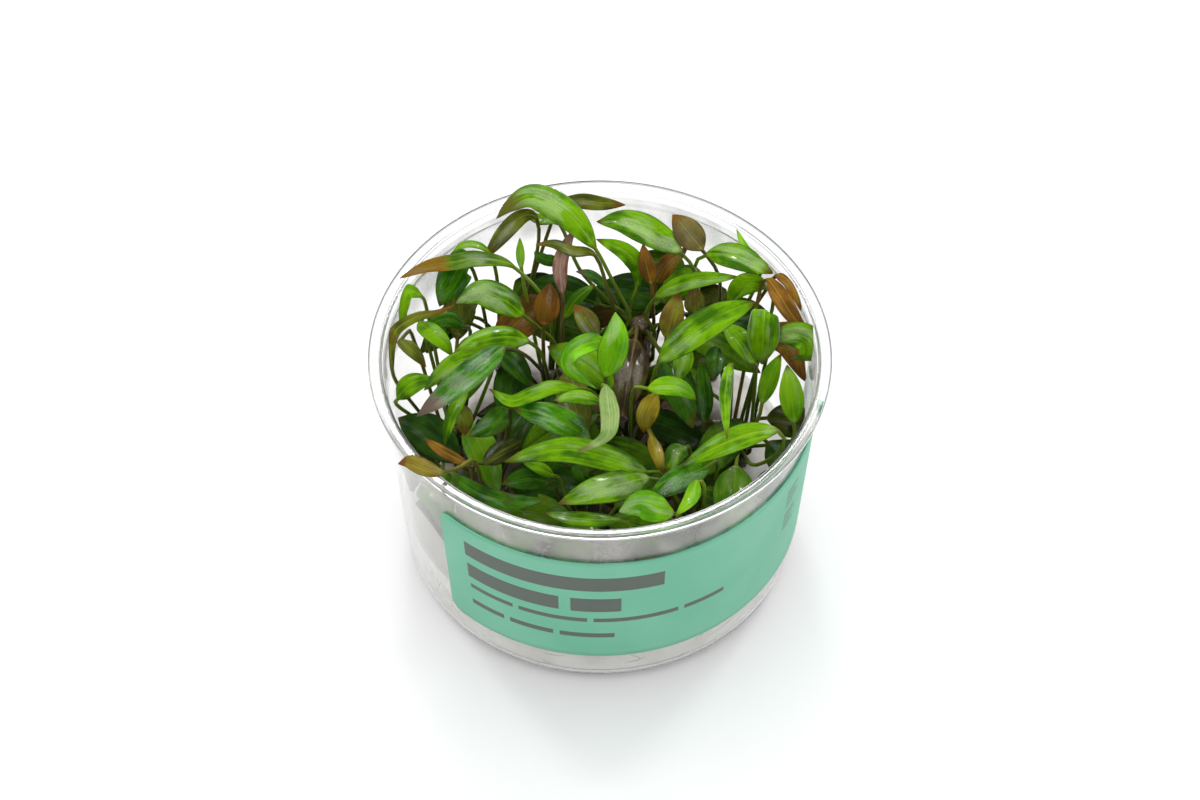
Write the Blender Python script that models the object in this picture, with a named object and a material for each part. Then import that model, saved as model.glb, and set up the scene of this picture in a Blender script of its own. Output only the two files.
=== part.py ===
"""Cryptocoryne plantlets in their clear tissue culture cup.

The object is a clear tub with a rooting gel, a label band, ten short crowns that stand on the gel, and the
leaves that grow beside them. Units are metres, and sizes below are millimetres until a mesh is made. +Z is
up, and the origin is the middle of the cup's foot.

A leaf is a rhombic tube: a stalk that widens into a lance-shaped blade and closes in a point. Its course
runs through a few points chosen by hand. They are laid out on a slanted drafting board, which faces an eye
that looks down into the cup: across and up are millimetres on the board, and the third number is the height
above the floor.
"""

import math
from dataclasses import dataclass

import bmesh
import bpy
import numpy as np
from mathutils import Vector
from mathutils.bvhtree import BVHTree

MM = 0.001

# Cup
RIM_RADIUS = 50.0
RIM_TOP = 61.5
RIM_THICK = 1.2
LEDGE_RADIUS = 47.7
LEDGE_DROP = 0.8
WALL_TOP_RADIUS = 46.9
WALL_FOOT_RADIUS = 44.0
WALL = 0.8
FOOT_ROUND = 5.0
FOOT_RING_OUT = 40.0
FOOT_RING_IN = 36.5
FOOT_RECESS = 0.7
CUP_SIDES = 36
GEL_SIDES = 24

# Gel
GEL_TOP = 18.0
GEL_RISE = 0.9
GEL_CREEP = 1.3
GEL_EDGE = 0.2
GAP = 0.3

# Label
LABEL_LOW = 14.5
LABEL_HIGH = 49.0
LABEL_FROM = -46.0
LABEL_TO = 100.0
LABEL_THICK = 0.25
LABEL_ROUND = 3.0
LABEL_COLUMNS = 18

# The eye that the drafting board faces, and how far below the middle of the rim the board's zero line lies
EYE_TILT = math.radians(50.5)
EYE_REACH = 787.0
BOARD_SINK = 1.74

# Leaves
STALK_HALF = 0.42
STALK_TAPER = 0.6
LEAF_THICK = 0.6
BLADE_FOLD = math.radians(14)
BLADE_RISE = 0.75
BLADE_FALL = 0.95
BLADE_SPREAD = 0.9
LEAF_ROUGHNESS = 0.35
CLEAR_WALL = 0.75
CLEAR_WALL_EDGE = 0.35
CLEAR_GEL = 0.8
CLEAR_PIECES = 0.35
RING_STEP = 5.8
RINGS_LEAST = 6
RINGS_MOST = 8
RINGS_SMALL = 4

# Where a large leaf stands beside its crown
FOOT_CLEAR = 0.15
FOOT_DROP = 2.0

# Crowns: a flared collar at the gel, a straight stem, a blunt dome, and the way a young leaf leaves a side
CROWN_SIDES = 8
COLLAR_RISE = 1.2
COLLAR_FLARE = 1.15
DOME_DROP = 0.8
DOME_SHARES = (0.95, 0.55)
DOME_TIP = 0.3
SPROUT_BANDS = (1, 2)
SPROUT_GAP = 0.35
SPROUT_LIFT = 0.3

# Low young leaves that follow a rule: they fill the cup evenly, and lie lower in its middle and at the back
YOUNG_LEAVES = 120
YOUNG_FIELD = 40.0
YOUNG_LOW = 37.0
YOUNG_HIGH = 57.0
YOUNG_MIDDLE_DROP = 12.0
YOUNG_BACK_DROP = 0.35
YOUNG_NARROW = 5.6
YOUNG_WIDE = 7.4
YOUNG_LEAN = 30
GOLDEN = math.radians(137.5)
HEIGHT_SHARE = 0.618
WIDTH_SHARE = 0.414

# A young leaf's course: its knee and neck as shares of its way and of its rise, and its blade
YOUNG_KNEE = (0.4, 0.45)
YOUNG_NECK = (0.3, 0.85)
YOUNG_BEFORE = 8.0
YOUNG_CREST = 1.0
YOUNG_BEYOND = 12.0
YOUNG_DROOP = 3.5

# Ways in which a leaf may give way to the leaves that are already there
TURNS = (0, 18, -18, 36, -36, 60, -60, 90, -90, 135, -135, 180)
TOWARDS_EYE = (0, 1, -1, 2, -2, 3, -3, 4.2, -4.2, 5.5, -5.5)
TIERS = (0.0, 1.6, 3.2)
YOUNG_TURNS = (0.0, 0.3, -0.3, 0.6, -0.6, 0.9, -0.9)
YOUNG_LIFTS = (0.0, -3.0, 3.0, -6.0)
PATCHES_TRIED = 5
CROWNS_TRIED = 3

# A clear space behind the plants, from the gel to the mouth
OPEN_LOW = (-5.0, 37.4, 22.0)
OPEN_HIGH = (5.0, 42.6, 55.0)

# Leaf colours, each with the name of its material
GREEN = ("green leaf", (0.085, 0.27, 0.015, 1))
FRESH = ("yellow-green leaf", (0.21, 0.42, 0.02, 1))
DARK = ("dark green leaf", (0.025, 0.10, 0.010, 1))
OLIVE = ("olive leaf", (0.16, 0.16, 0.02, 1))
BROWN = ("orange-brown leaf", (0.19, 0.09, 0.025, 1))
ROSY = ("rosy brown leaf", (0.38, 0.20, 0.14, 1))
SILVER = ("silvery wet leaf", (0.24, 0.33, 0.22, 1))
OCHRE = ("ochre leaf", (0.42, 0.33, 0.03, 1))


@dataclass(frozen=True)
class Crown:
    """A plantlet's stem base: where it stands, how high it reaches and how thick it is, in millimetres."""

    name: str
    x: float
    y: float
    top: float
    radius: float


@dataclass(frozen=True)
class Leaf:
    """A leaf: the crown that it grows from, its width, its course, and how its blade faces."""

    name: str
    crown: str
    width: float
    course: tuple
    neck: int = 1
    lean: float = 15.0
    tone: tuple = GREEN


CROWNS = (
    Crown("stem_tall", 9, 25, 42, 2.6),
    Crown("crown_back_left", -22, 31, 27, 2.0),
    Crown("crown_back_right", 25, 29, 27, 2.0),
    Crown("crown_left_middle", -10, 19, 31, 2.1),
    Crown("crown_left", -33, 6, 27, 2.1),
    Crown("crown_middle", 5, 2, 28, 2.2),
    Crown("crown_right", 31, 4, 28, 2.2),
    Crown("crown_front_left", -24, -19, 27, 2.1),
    Crown("crown_front_right", 21, -17, 27, 2.1),
    Crown("crown_front", -2, -29, 27, 2.0),
)

# Leaves that stand out, in the order in which they take their place
LARGE = (
    Leaf("leaf_front_wall_strap", "crown_front_left", 3.8,
         ((-30.5, -25, 51), (-31.5, -24.6, 58.5), (-29.3, -26.8, 60.4), (-25, -29.2, 60.4),
          (-18, -30.6, 59.6), (-11, -29.9, 57.5)), lean=28, tone=DARK),
    Leaf("leaf_top_arch", "stem_tall", 6.2,
         ((6.5, 9.5, 44), (2.5, 17.5, 53), (-1, 24, 60), (-6.5, 31, 65), (-14, 35.4, 66.5), (-19, 33.6, 65),
          (-22.4, 30.4, 62)), neck=2, lean=30),
    Leaf("leaf_back_green", "crown_back_right", 6.6,
         ((21, 17, 50), (17.5, 23, 57), (11.5, 27.2, 61), (5, 29.9, 62.5), (-0.8, 29.8, 60.5)), lean=22),
    Leaf("leaf_right_long", "stem_tall", 3.6,
         ((10, 9.8, 45), (11.8, 13.2, 50), (16, 15.8, 54.5), (22, 17.4, 57.5), (30, 18, 58)), lean=30),
    Leaf("leaf_right_broad", "crown_middle", 6.7,
         ((11.3, -4.5, 46), (12.8, -0.6, 52), (17.5, 4, 57.5), (24, 8.4, 60.5), (29, 10.9, 61),
          (33.5, 12.5, 59)), lean=25),
    Leaf("leaf_left_broad", "crown_left_middle", 6.3,
         ((-9.5, 3, 42), (-13, 6.8, 49), (-16.5, 9.6, 55), (-20.5, 12.8, 59.5), (-26, 14.6, 61),
          (-31.2, 12.2, 58)), neck=2, lean=28),
    Leaf("leaf_left_tip_over_rim", "crown_left_middle", 3.6,
         ((-11, 11, 50), (-18.5, 20, 60), (-26, 21.8, 62.5), (-32, 21, 63.6), (-37.5, 20.1, 63.8),
          (-43.5, 17.5, 62.9)), lean=28),
    Leaf("leaf_front_long", "crown_front_right", 5.6,
         ((13.5, -25, 47), (10, -24.2, 53), (5.5, -22.4, 57.5), (0, -20.6, 59.5), (-7, -19.3, 60.5),
          (-14, -20.1, 59.5), (-21, -22, 57)), lean=28),
    Leaf("leaf_front_dark", "crown_front_right", 6.4,
         ((15, -27.5, 45), (10.5, -25.5, 52), (4, -26.9, 56.5), (-3, -28.6, 58), (-9.2, -31, 56)), lean=25),
    Leaf("leaf_front_right_long", "crown_right", 5.2,
         ((33, -22.6, 38), (37.6, -20.7, 45), (39.7, -17.6, 52), (38.4, -15.3, 56), (33, -15.7, 58),
          (27, -17.9, 59), (22, -20.4, 58), (17.6, -22.9, 55.8)), neck=3, lean=25),
    Leaf("leaf_middle_upright", "crown_middle", 6.2,
         ((1.2, -5.5, 47), (1.2, -3.6, 51), (2.4, 0.5, 55.5), (3.5, 5.5, 60), (3.3, 10.4, 63)), lean=40),
    Leaf("leaf_middle_folded", "crown_middle", 5.4,
         ((2.5, 1, 45), (1.0, 4.0, 52), (-2.6, 3.6, 57), (-6.3, 1.4, 58.2), (-6.6, -2.0, 56),
          (-0.6, -6.3, 51)), lean=45, tone=FRESH),
    Leaf("leaf_middle_pale", "crown_middle", 3.9,
         ((0.5, -7, 50), (1.2, -5.6, 55), (1.7, -9, 59.5), (2.1, -12.5, 61.5), (1.6, -16.2, 63),
          (-1.2, -18.3, 64), (-5.6, -19.9, 64.2)), lean=55, tone=FRESH),
    Leaf("leaf_middle_left", "crown_front", 6.0,
         ((1.5, -21.5, 42), (-2.4, -17.4, 50), (-6, -14.5, 55.5), (-12, -11.8, 58), (-19, -10.2, 56.5)),
         lean=30),
    Leaf("leaf_strap_left", "crown_middle", 3.2,
         ((-1, -7.5, 48), (-4.5, -6.2, 55), (-10, -5.8, 59), (-14.5, -7.3, 60), (-19.2, -8.8, 59.5),
          (-24, -6.1, 57)), lean=28),
    Leaf("leaf_left_long", "crown_left_middle", 5.3,
         ((-12.5, 1, 45), (-15.5, 4, 53), (-20, 5, 57.5), (-26, 4, 58.5), (-32.2, 0.8, 55)), lean=28),
    Leaf("leaf_left_silver", "crown_left_middle", 5.6,
         ((-16, 1.0, 50), (-20.5, 2.6, 59.5), (-25, -0.6, 61.8), (-30, -4.6, 62), (-35, -8.6, 60.5),
          (-39.6, -12.2, 56.5)), lean=35, tone=SILVER),
    Leaf("leaf_left_wet", "crown_back_left", 7.0,
         ((-26, 15, 48), (-28, 20.5, 57), (-30, 20.6, 60.5), (-32.2, 16.6, 57.5), (-34.6, 11.5, 52)),
         lean=65),
    Leaf("leaf_left_brown_arch", "crown_left", 2.2,
         ((-43, -6, 44), (-46.2, -2, 51), (-46.1, 2.4, 56), (-43.8, 6.6, 59.6), (-39.5, 9.3, 61.2),
          (-35.2, 10.2, 61.8), (-31, 12, 62.6)), lean=35, tone=OLIVE),
    Leaf("leaf_left_wall", "crown_left", 3.2,
         ((-37, 9.5, 46), (-38.6, 13.8, 56.5), (-42, 14.8, 60), (-44.4, 11.2, 57), (-44.8, 7, 52)),
         lean=45, tone=FRESH),
    Leaf("leaf_left_small", "crown_left", 3.8,
         ((-23, -1.5, 50), (-24.5, 0.8, 56.5), (-30.5, -0.2, 59.4), (-34.5, -3, 58), (-38, -6.6, 54)),
         lean=32),
    Leaf("leaf_rim_left_tip", "crown_front_left", 3.4,
         ((-26.5, -22.5, 50), (-30.5, -23.2, 61), (-33.8, -24.2, 63.6), (-37.5, -23.3, 65.2),
          (-41.2, -21.8, 65), (-43.6, -22.3, 62.8)), neck=2, lean=28, tone=OLIVE),
    Leaf("leaf_right_hanging", "crown_right", 6.8,
         ((35, 6, 52), (35.4, 10.0, 60), (35.4, 9.6, 62.8), (35.2, 5.4, 59.5), (34.9, -1, 50)), lean=75),
    Leaf("leaf_right_curled", "crown_right", 5.8,
         ((36, 1, 49), (37.8, 4.4, 57), (42.2, 5.5, 60.8), (45.2, 4, 59.4), (45.2, 0.9, 55.5),
          (40.8, 0.2, 51.5)), lean=40),
    Leaf("leaf_right_fresh", "crown_right", 5.0,
         ((41, -17.5, 38), (41.8, -13.5, 44), (41.2, -7.2, 50), (40.3, -0.9, 55.5)), lean=50, tone=FRESH),
    Leaf("leaf_right_pale", "crown_right", 3.8,
         ((34.3, -12, 39), (34.9, -9.3, 43), (36.9, -3, 49), (39.0, 1.4, 53.5)), lean=50, tone=FRESH),
    Leaf("leaf_back_right_green", "crown_back_right", 5.6,
         ((20.3, 19, 51), (23, 22.6, 57), (28.6, 22.5, 60.4), (33.8, 20.4, 61), (37.4, 18.6, 59.5)),
         lean=30),
    Leaf("leaf_back_brown", "crown_back_right", 6.0,
         ((25.8, 17, 48), (22, 23.7, 57), (18.7, 27.8, 61), (15.6, 31.4, 62.5)), lean=40, tone=OLIVE),
    Leaf("leaf_right_round", "crown_right", 4.8,
         ((37.4, 12.4, 50), (35.6, 15.6, 56), (31.2, 16.4, 57.5), (27.2, 12.4, 53.5)), lean=50),
    Leaf("leaf_right_brown_tip", "crown_right", 3.8,
         ((34, 13.5, 52), (35.8, 17.2, 58.5), (38.5, 13.9, 59.6), (41.4, 9.4, 58.5), (45.3, 5.2, 56.5)),
         lean=35, tone=BROWN),
    Leaf("leaf_back_olive", "crown_back_left", 3.3,
         ((-11, 28, 52), (-8.6, 33.2, 60.2), (-4.5, 34.2, 62.6), (0.5, 33.7, 62.8), (5.6, 33.4, 61.3)),
         lean=40, tone=OLIVE),
    Leaf("leaf_back_strap", "crown_back_left", 3.6,
         ((-13.6, 23, 50), (-13.6, 30.2, 59.5), (-16.6, 31, 61.5), (-20.6, 27.4, 60.5), (-25.2, 21.4, 55)),
         lean=40, tone=OLIVE),
    Leaf("leaf_back_rosy", "crown_left_middle", 3.2,
         ((-8, 11, 45), (-8.1, 14.2, 49), (-8.6, 20.5, 55.5), (-7, 25.4, 59.4), (-5, 28.4, 61.2)),
         lean=60, tone=ROSY),
    Leaf("leaf_middle_drooping", "stem_tall", 4.0,
         ((6.6, 11.7, 45), (8.0, 16, 51), (8.2, 20, 56), (5, 23.6, 59.6), (-0.9, 26.1, 60.4)), lean=35),
    Leaf("leaf_middle_brown", "stem_tall", 5.0,
         ((13.5, 2.2, 44), (14.3, 4.8, 48), (15.6, 9.5, 53), (17, 14.6, 57)), lean=50, tone=BROWN),
    Leaf("leaf_back_orange", "stem_tall", 3.4,
         ((11.2, 14, 49), (11.0, 16.4, 52), (10.0, 20.4, 56), (9.2, 25, 59.4)), lean=55, tone=BROWN),
    Leaf("leaf_left_triangle", "crown_left_middle", 5.6,
         ((-12.2, 4.6, 45), (-12.0, 7.6, 49.5), (-11.4, 11.6, 54), (-10.7, 16.6, 58)), lean=55, tone=BROWN),
    Leaf("leaf_left_dark_round", "crown_front_left", 5.0,
         ((-19.4, -12.6, 47), (-20.2, -10.8, 51), (-22.6, -13.4, 53.4), (-28.4, -16.4, 52.4)),
         lean=35, tone=DARK),
    Leaf("leaf_front_triangle", "crown_front_right", 6.4,
         ((17, -33.5, 50), (15.6, -33, 55.5), (12, -31.8, 58), (8.4, -31, 58.4), (4, -32.7, 56.5)),
         lean=20, tone=FRESH),
    Leaf("leaf_front_wet", "crown_front_right", 5.4,
         ((25.5, -22.6, 46), (23.4, -23.0, 53), (18, -25.4, 57), (13.2, -28.2, 58.4), (10.8, -30.6, 55)),
         lean=28),
    Leaf("leaf_front_small", "crown_front_right", 3.0,
         ((22.5, -27.5, 52), (20.9, -26.2, 58.5), (19.6, -29.8, 60.4), (16.3, -33.6, 60.2)),
         lean=25, tone=FRESH),
    Leaf("leaf_right_vertical", "crown_right", 2.6,
         ((28.4, -3.5, 51), (28.0, -1, 57), (26.9, -8.4, 61.3), (27.4, -17.2, 61.6)), lean=60),
    Leaf("leaf_dark_vertical", "crown_right", 3.4,
         ((22.6, -16, 38), (22.5, -13.6, 41), (22.6, -7.6, 47), (21.5, 0.6, 53)), lean=60, tone=DARK),
    Leaf("leaf_middle_ochre", "crown_middle", 4.6,
         ((12.6, -5.6, 47), (12.2, -7.4, 50.5), (10.2, -11.2, 49), (9.4, -15.8, 44)), lean=75, tone=OCHRE),
    Leaf("leaf_middle_fresh", "crown_middle", 4.0,
         ((7, -7, 49), (10.4, -6.2, 55), (14.4, -5.5, 57), (17.8, -6.2, 57), (20.8, -8.6, 54.5)),
         lean=40, tone=FRESH),
    Leaf("leaf_front_left_dark", "crown_front_left", 4.4,
         ((-27.4, -23.4, 45), (-25, -22.2, 50), (-21.4, -19.8, 52), (-17, -17.4, 50.5)),
         lean=40, tone=DARK),
    Leaf("leaf_front_low", "crown_front", 4.6,
         ((-9, -29, 42), (-11, -26.4, 49), (-15.4, -25.5, 52), (-21.2, -26.6, 50.5)), lean=35, tone=DARK),
)

# Small leaves, each fused to the crown that it grows from
SMALL = (
    Leaf("thin_back", "crown_back_left", 1.6,
         ((-22, 16, 48), (-24, 23.2, 58.5), (-28.6, 25, 60.8), (-32.6, 22.4, 59.4))),
    Leaf("point_back", "stem_tall", 2.6,
         ((-4, 19, 50), (-8.6, 29.2, 59), (-13, 30.4, 59.2), (-17.1, 31.8, 60))),
    Leaf("strap_back", "stem_tall", 2.6,
         ((2, 14, 47), (-1, 22.4, 56), (-6, 23.4, 57.8), (-10, 25, 58.6), (-14, 24.8, 57.4)), tone=OLIVE),
    Leaf("dark_back", "crown_left_middle", 2.8,
         ((-8.6, 15, 48), (-9, 20.6, 54.6), (-12, 21.7, 56.4), (-14.2, 23.4, 55.8)), tone=DARK),
    Leaf("stem_back", "crown_left_middle", 1.8,
         ((-15.6, 12, 47), (-17, 20, 54.5), (-17.3, 26.4, 59)), tone=FRESH),
    Leaf("brown_back", "stem_tall", 4.0,
         ((11.6, 13, 46), (12.2, 16.6, 50), (14.6, 20.6, 54.6), (19, 24.4, 57)), tone=BROWN),
    Leaf("olive_back", "crown_back_right", 4.6,
         ((20.6, 6.6, 46), (20.6, 9.6, 49), (20.4, 12.8, 52), (20, 15.8, 54.4)), tone=OLIVE),
    Leaf("thin_right", "crown_back_right", 1.6,
         ((34, 17, 52), (34.2, 21.6, 58.5), (31.4, 24, 61.2), (29.4, 28.2, 63.2)), tone=FRESH),
    Leaf("brown_right", "crown_back_right", 3.0,
         ((35, 14, 49), (38, 18.2, 58), (41, 17, 61), (42.8, 13.8, 60.4), (43.9, 10.6, 58.6)), tone=BROWN),
    Leaf("green_up", "crown_left_middle", 3.0,
         ((-8, 6, 42), (-7.6, 9, 46), (-5, 13.2, 50.4), (-1, 16.4, 53))),
    Leaf("grey_up", "stem_tall", 2.4,
         ((3.6, 12, 45), (1.8, 15.2, 48.5), (-2, 18.4, 52), (-5.3, 19.2, 53)), tone=SILVER),
    Leaf("olive_middle", "stem_tall", 4.8,
         ((0.4, 2.4, 42), (-0.6, 4.8, 46), (-3, 8.6, 49.6), (-5.6, 12, 51.6)), tone=OLIVE),
    Leaf("green_middle", "crown_middle", 3.2,
         ((3, -11, 44), (0.6, -9.2, 49.5), (-4.8, -7.8, 53.4), (-10.2, -8.6, 53))),
    Leaf("dark_right", "crown_right", 4.6,
         ((26, 0, 44), (25.4, 2.4, 48.5), (24.8, -1, 49), (24, -4.2, 47)), tone=DARK),
    Leaf("hanging_right", "crown_middle", 4.4,
         ((18, 0, 44), (18.4, 2.6, 50), (17.8, -0.8, 50.4), (16.8, -4.8, 48.4))),
    Leaf("branch_left", "crown_left", 2.8,
         ((-30, -9, 46), (-28.8, -6.2, 53.5), (-31, -9.8, 56), (-32.6, -14, 54), (-33.6, -18.6, 49))),
    Leaf("olive_left", "crown_left", 4.6,
         ((-33, -8.6, 44), (-31.4, -10, 49), (-29.4, -13, 50.4), (-29.2, -16.4, 48.5)), tone=OLIVE),
    Leaf("orange_front", "crown_front_left", 2.4,
         ((-27.6, -24.4, 46), (-28.4, -22.8, 51.5), (-34, -19.6, 54.6), (-37.9, -16.8, 54)), tone=BROWN),
    Leaf("green_front", "crown_front", 2.6,
         ((-8, -27, 44), (-10.2, -24.8, 50.6), (-13, -23.2, 53), (-16.6, -22, 53.4))),
    Leaf("green_wall", "crown_left", 4.2,
         ((-40, 9, 45), (-38.8, 8, 51), (-36.2, 6, 53.4), (-33.6, 3.6, 53), (-31.6, 0.8, 50.5))),
    Leaf("dark_wall", "crown_left", 3.8,
         ((-28, 5, 46), (-29.4, 7.2, 51), (-32, 8.8, 54), (-35, 8.4, 54.6), (-38, 6.6, 52.6)), tone=DARK),
    Leaf("olive_wall", "crown_left", 3.2,
         ((-43.4, 6.2, 46), (-43.2, 4.6, 50.4), (-41.4, 3, 53), (-39.4, 1, 52.4), (-37.4, -1.6, 49.6)),
         tone=OLIVE),
    Leaf("green_wall_low", "crown_left", 4.6,
         ((-43.4, -10, 43), (-43.4, -8.2, 47.6), (-42, -6.2, 50.6), (-39.4, -4.6, 51.4), (-35.8, -3.8, 50))),
    Leaf("dark_front", "crown_front", 3.6,
         ((-3, -28, 41), (-3.2, -26.4, 45), (-4, -24.4, 47.4), (-5.4, -21, 46.6)), tone=DARK),
    Leaf("ochre_front", "crown_front_right", 2.8,
         ((10.4, -14.6, 42), (11, -16.4, 45.4), (12, -19.4, 46.8), (13, -22.4, 46), (13.4, -25.4, 43)),
         tone=OCHRE),
    Leaf("green_front_right", "crown_front_right", 4.2,
         ((19.4, -19.6, 41), (18.4, -19, 45.4), (16.4, -20, 47.6), (14.6, -24.2, 45.6))),
    Leaf("green_right", "crown_right", 5.0,
         ((33.6, -2.6, 46), (33.2, -0.8, 50), (31.6, 2.4, 53), (29.2, 5.6, 54), (27.4, 8, 52))),
    Leaf("dark_middle_left", "crown_left_middle", 4.8,
         ((-20, 1.6, 43), (-21.4, 2, 47), (-19.6, 0.2, 49), (-17, -2.6, 48.4), (-14.4, -6, 45.6)),
         tone=DARK),
    Leaf("low_front", "crown_front", 3.4,
         ((6.5, -36.6, 47), (4.6, -34.6, 53), (-2, -34.4, 55), (-7, -33.9, 54.6), (-12, -32.8, 53))),
)


def from_board(across, up, height):
    """The point at this height that the eye sees at this place of the drafting board, in millimetres."""
    eye = np.array((0, -EYE_REACH * math.cos(EYE_TILT), RIM_TOP + EYE_REACH * math.sin(EYE_TILT)))
    rise = up - BOARD_SINK
    mark = np.array((across, rise * math.sin(EYE_TILT), RIM_TOP + rise * math.cos(EYE_TILT)))
    return eye + (mark - eye) * (height - eye[2]) / (mark[2] - eye[2])


def outer_radius(height):
    """The cup wall's outer radius at a height above the rounded foot."""
    share = (height - FOOT_ROUND) / (RIM_TOP - RIM_THICK - FOOT_ROUND)
    return WALL_FOOT_RADIUS + (WALL_TOP_RADIUS + WALL - WALL_FOOT_RADIUS) * min(max(share, 0), 1)


def inner_radius(height):
    return outer_radius(height) - WALL


def arc(centre, radius, start, end, steps):
    """Points of a circular arc in the turning plane, by angles in degrees."""
    angles = np.radians(np.linspace(start, end, steps))
    return [(centre[0] + radius * math.cos(a), centre[1] + radius * math.sin(a)) for a in angles]


def cup_profile():
    """The cup's closed outline, from the middle of its underside round the rim to the middle of its floor."""
    foot_x = WALL_FOOT_RADIUS - FOOT_ROUND
    flange_low = RIM_TOP - RIM_THICK
    points = [(0, FOOT_RECESS), (FOOT_RING_IN, FOOT_RECESS), (FOOT_RING_IN + 0.4, 0), (FOOT_RING_OUT - 1, 0)]
    points += arc((foot_x, FOOT_ROUND), FOOT_ROUND, -80, 0, 3)
    points += [(outer_radius(flange_low), flange_low), (RIM_RADIUS - 0.5, flange_low)]
    points += [(RIM_RADIUS, flange_low + 0.5), (RIM_RADIUS, RIM_TOP - 0.4), (RIM_RADIUS - 0.4, RIM_TOP)]
    points += [(LEDGE_RADIUS + 0.4, RIM_TOP), (LEDGE_RADIUS, RIM_TOP - LEDGE_DROP)]
    points += [(WALL_TOP_RADIUS, RIM_TOP - LEDGE_DROP - 0.3)]
    points += arc((foot_x, FOOT_ROUND), FOOT_ROUND - WALL, 0, -80, 3)
    points += [(foot_x - 2.0, FOOT_RECESS + WALL), (0, FOOT_RECESS + WALL)]
    return points


def gel_profile():
    """The gel's outline: it follows the cup's rounded floor, and its top creeps up the wall a little.

    It is narrow enough to stay clear of the flat sides between the cup's corners.
    """
    foot_x = (WALL_FOOT_RADIUS - FOOT_ROUND) * math.cos(math.pi / CUP_SIDES)
    low = FOOT_RECESS + WALL + GAP
    points = [(0, low), (foot_x - 2.0, low)]
    points += arc((foot_x, FOOT_ROUND + 0.2), FOOT_ROUND - WALL - GAP, -75, 0, 3)
    side = inner_radius(GEL_TOP) * math.cos(math.pi / CUP_SIDES) - GAP
    points += [(side, GEL_TOP + GEL_RISE), (side - GEL_CREEP, GEL_TOP + GEL_EDGE), (0, GEL_TOP)]
    return points


def turned(points, sides):
    """Turns an outline whose two ends lie on the axis into a closed mesh: vertices and faces."""
    angles = np.arange(sides) * 2 * math.pi / sides
    rings = points[1:-1]
    verts = [(0.0, 0.0, points[0][1]), (0.0, 0.0, points[-1][1])]
    for radius, height in rings:
        verts += [(radius * math.cos(a), radius * math.sin(a), height) for a in angles]
    faces = []
    for i in range(sides):
        j = (i + 1) % sides
        faces.append((0, 2 + j, 2 + i))
        last = 2 + (len(rings) - 1) * sides
        faces.append((1, last + i, last + j))
        for ring in range(len(rings) - 1):
            low = 2 + ring * sides
            faces.append((low + i, low + j, low + sides + j, low + sides + i))
    return np.array(verts), faces


def label_mesh():
    """A thin band on the cup's wall, whose four corners are rounded."""
    middle = outer_radius((LABEL_LOW + LABEL_HIGH) / 2)
    corner = math.degrees(LABEL_ROUND / middle)
    ends = [corner * (1 - math.cos(math.radians(a))) for a in (0, 30, 60, 90)]
    insets = [LABEL_ROUND * (1 - math.sin(math.radians(a))) for a in (0, 30, 60, 90)]
    between = np.linspace(LABEL_FROM + corner, LABEL_TO - corner, LABEL_COLUMNS)[1:-1]
    columns = [(LABEL_FROM + turn, inset) for turn, inset in zip(ends, insets)]
    columns += [(turn, 0.0) for turn in between]
    columns += [(LABEL_TO - turn, inset) for turn, inset in zip(reversed(ends), reversed(insets))]
    verts = []
    for turn, inset in columns:
        angle = math.radians(turn - 90)
        for height in (LABEL_LOW + inset, LABEL_HIGH - inset):
            for lift in (GAP, GAP + LABEL_THICK):
                radius = outer_radius(height) + lift
                verts.append((radius * math.cos(angle), radius * math.sin(angle), height))
    faces = [(0, 1, 3, 2)]
    for i in range(len(columns) - 1):
        a = 4 * i
        b = a + 4
        faces += [(a, b, b + 1, a + 1), (a + 1, b + 1, b + 3, a + 3)]
        faces += [(a + 3, b + 3, b + 2, a + 2), (a + 2, b + 2, b, a)]
    last = 4 * (len(columns) - 1)
    faces.append((last, last + 2, last + 3, last + 1))
    return np.array(verts), faces


def smooth_course(points, steps=12):
    """A Catmull-Rom curve through the points: a fine polyline, its lengths, and those of the given points."""
    points = np.asarray(points, float)
    padded = np.vstack((2 * points[0] - points[1], points, 2 * points[-1] - points[-2]))
    line = [points[0]]
    for i in range(1, len(padded) - 2):
        before, start, end, after = padded[i - 1 : i + 3]
        for t in np.arange(1, steps + 1) / steps:
            line.append(
                0.5 * (2 * start + (end - before) * t + (2 * before - 5 * start + 4 * end - after) * t**2
                       + (3 * start - before - 3 * end + after) * t**3)
            )
    line = np.array(line)
    length = np.concatenate(([0], np.cumsum(np.linalg.norm(np.diff(line, axis=0), axis=1))))
    return line, length, length[::steps]


def blade_half_width(share):
    """The lance shape: zero at both ends, one at its widest, a little below the middle."""
    peak = BLADE_RISE / (BLADE_RISE + BLADE_FALL)
    highest = peak**BLADE_RISE * (1 - peak) ** BLADE_FALL
    return share**BLADE_RISE * (1 - share) ** BLADE_FALL / highest


def ring_places(total, neck, count):
    """How far along a leaf its rings stand: a few on the stalk and the rest on the blade."""
    count = count or int(np.clip(round(total / RING_STEP), RINGS_LEAST, RINGS_MOST))
    on_stalk = max(2, round(count * neck / total))
    stalk = np.linspace(0, neck, on_stalk)
    blade = neck + (total - neck) * np.linspace(0, 1, count - on_stalk + 3)[1:-1] ** BLADE_SPREAD
    return np.concatenate((stalk, blade))


def blade_frames(centres, facing):
    """Unit vectors across and out of the blade at each ring, carried along the course without twisting."""
    tangents = np.gradient(centres, axis=0)
    tangents /= np.linalg.norm(tangents, axis=1)[:, None]
    middle = len(centres) * 2 // 3
    outs = np.zeros_like(centres)
    start = facing - tangents[middle] * (facing @ tangents[middle])
    outs[middle] = start / np.linalg.norm(start)
    for order in (range(middle + 1, len(centres)), range(middle - 1, -1, -1)):
        known = outs[middle]
        for i in order:
            known = known - tangents[i] * (known @ tangents[i])
            known = known / np.linalg.norm(known)
            outs[i] = known
    return np.cross(outs, tangents), outs


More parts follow.
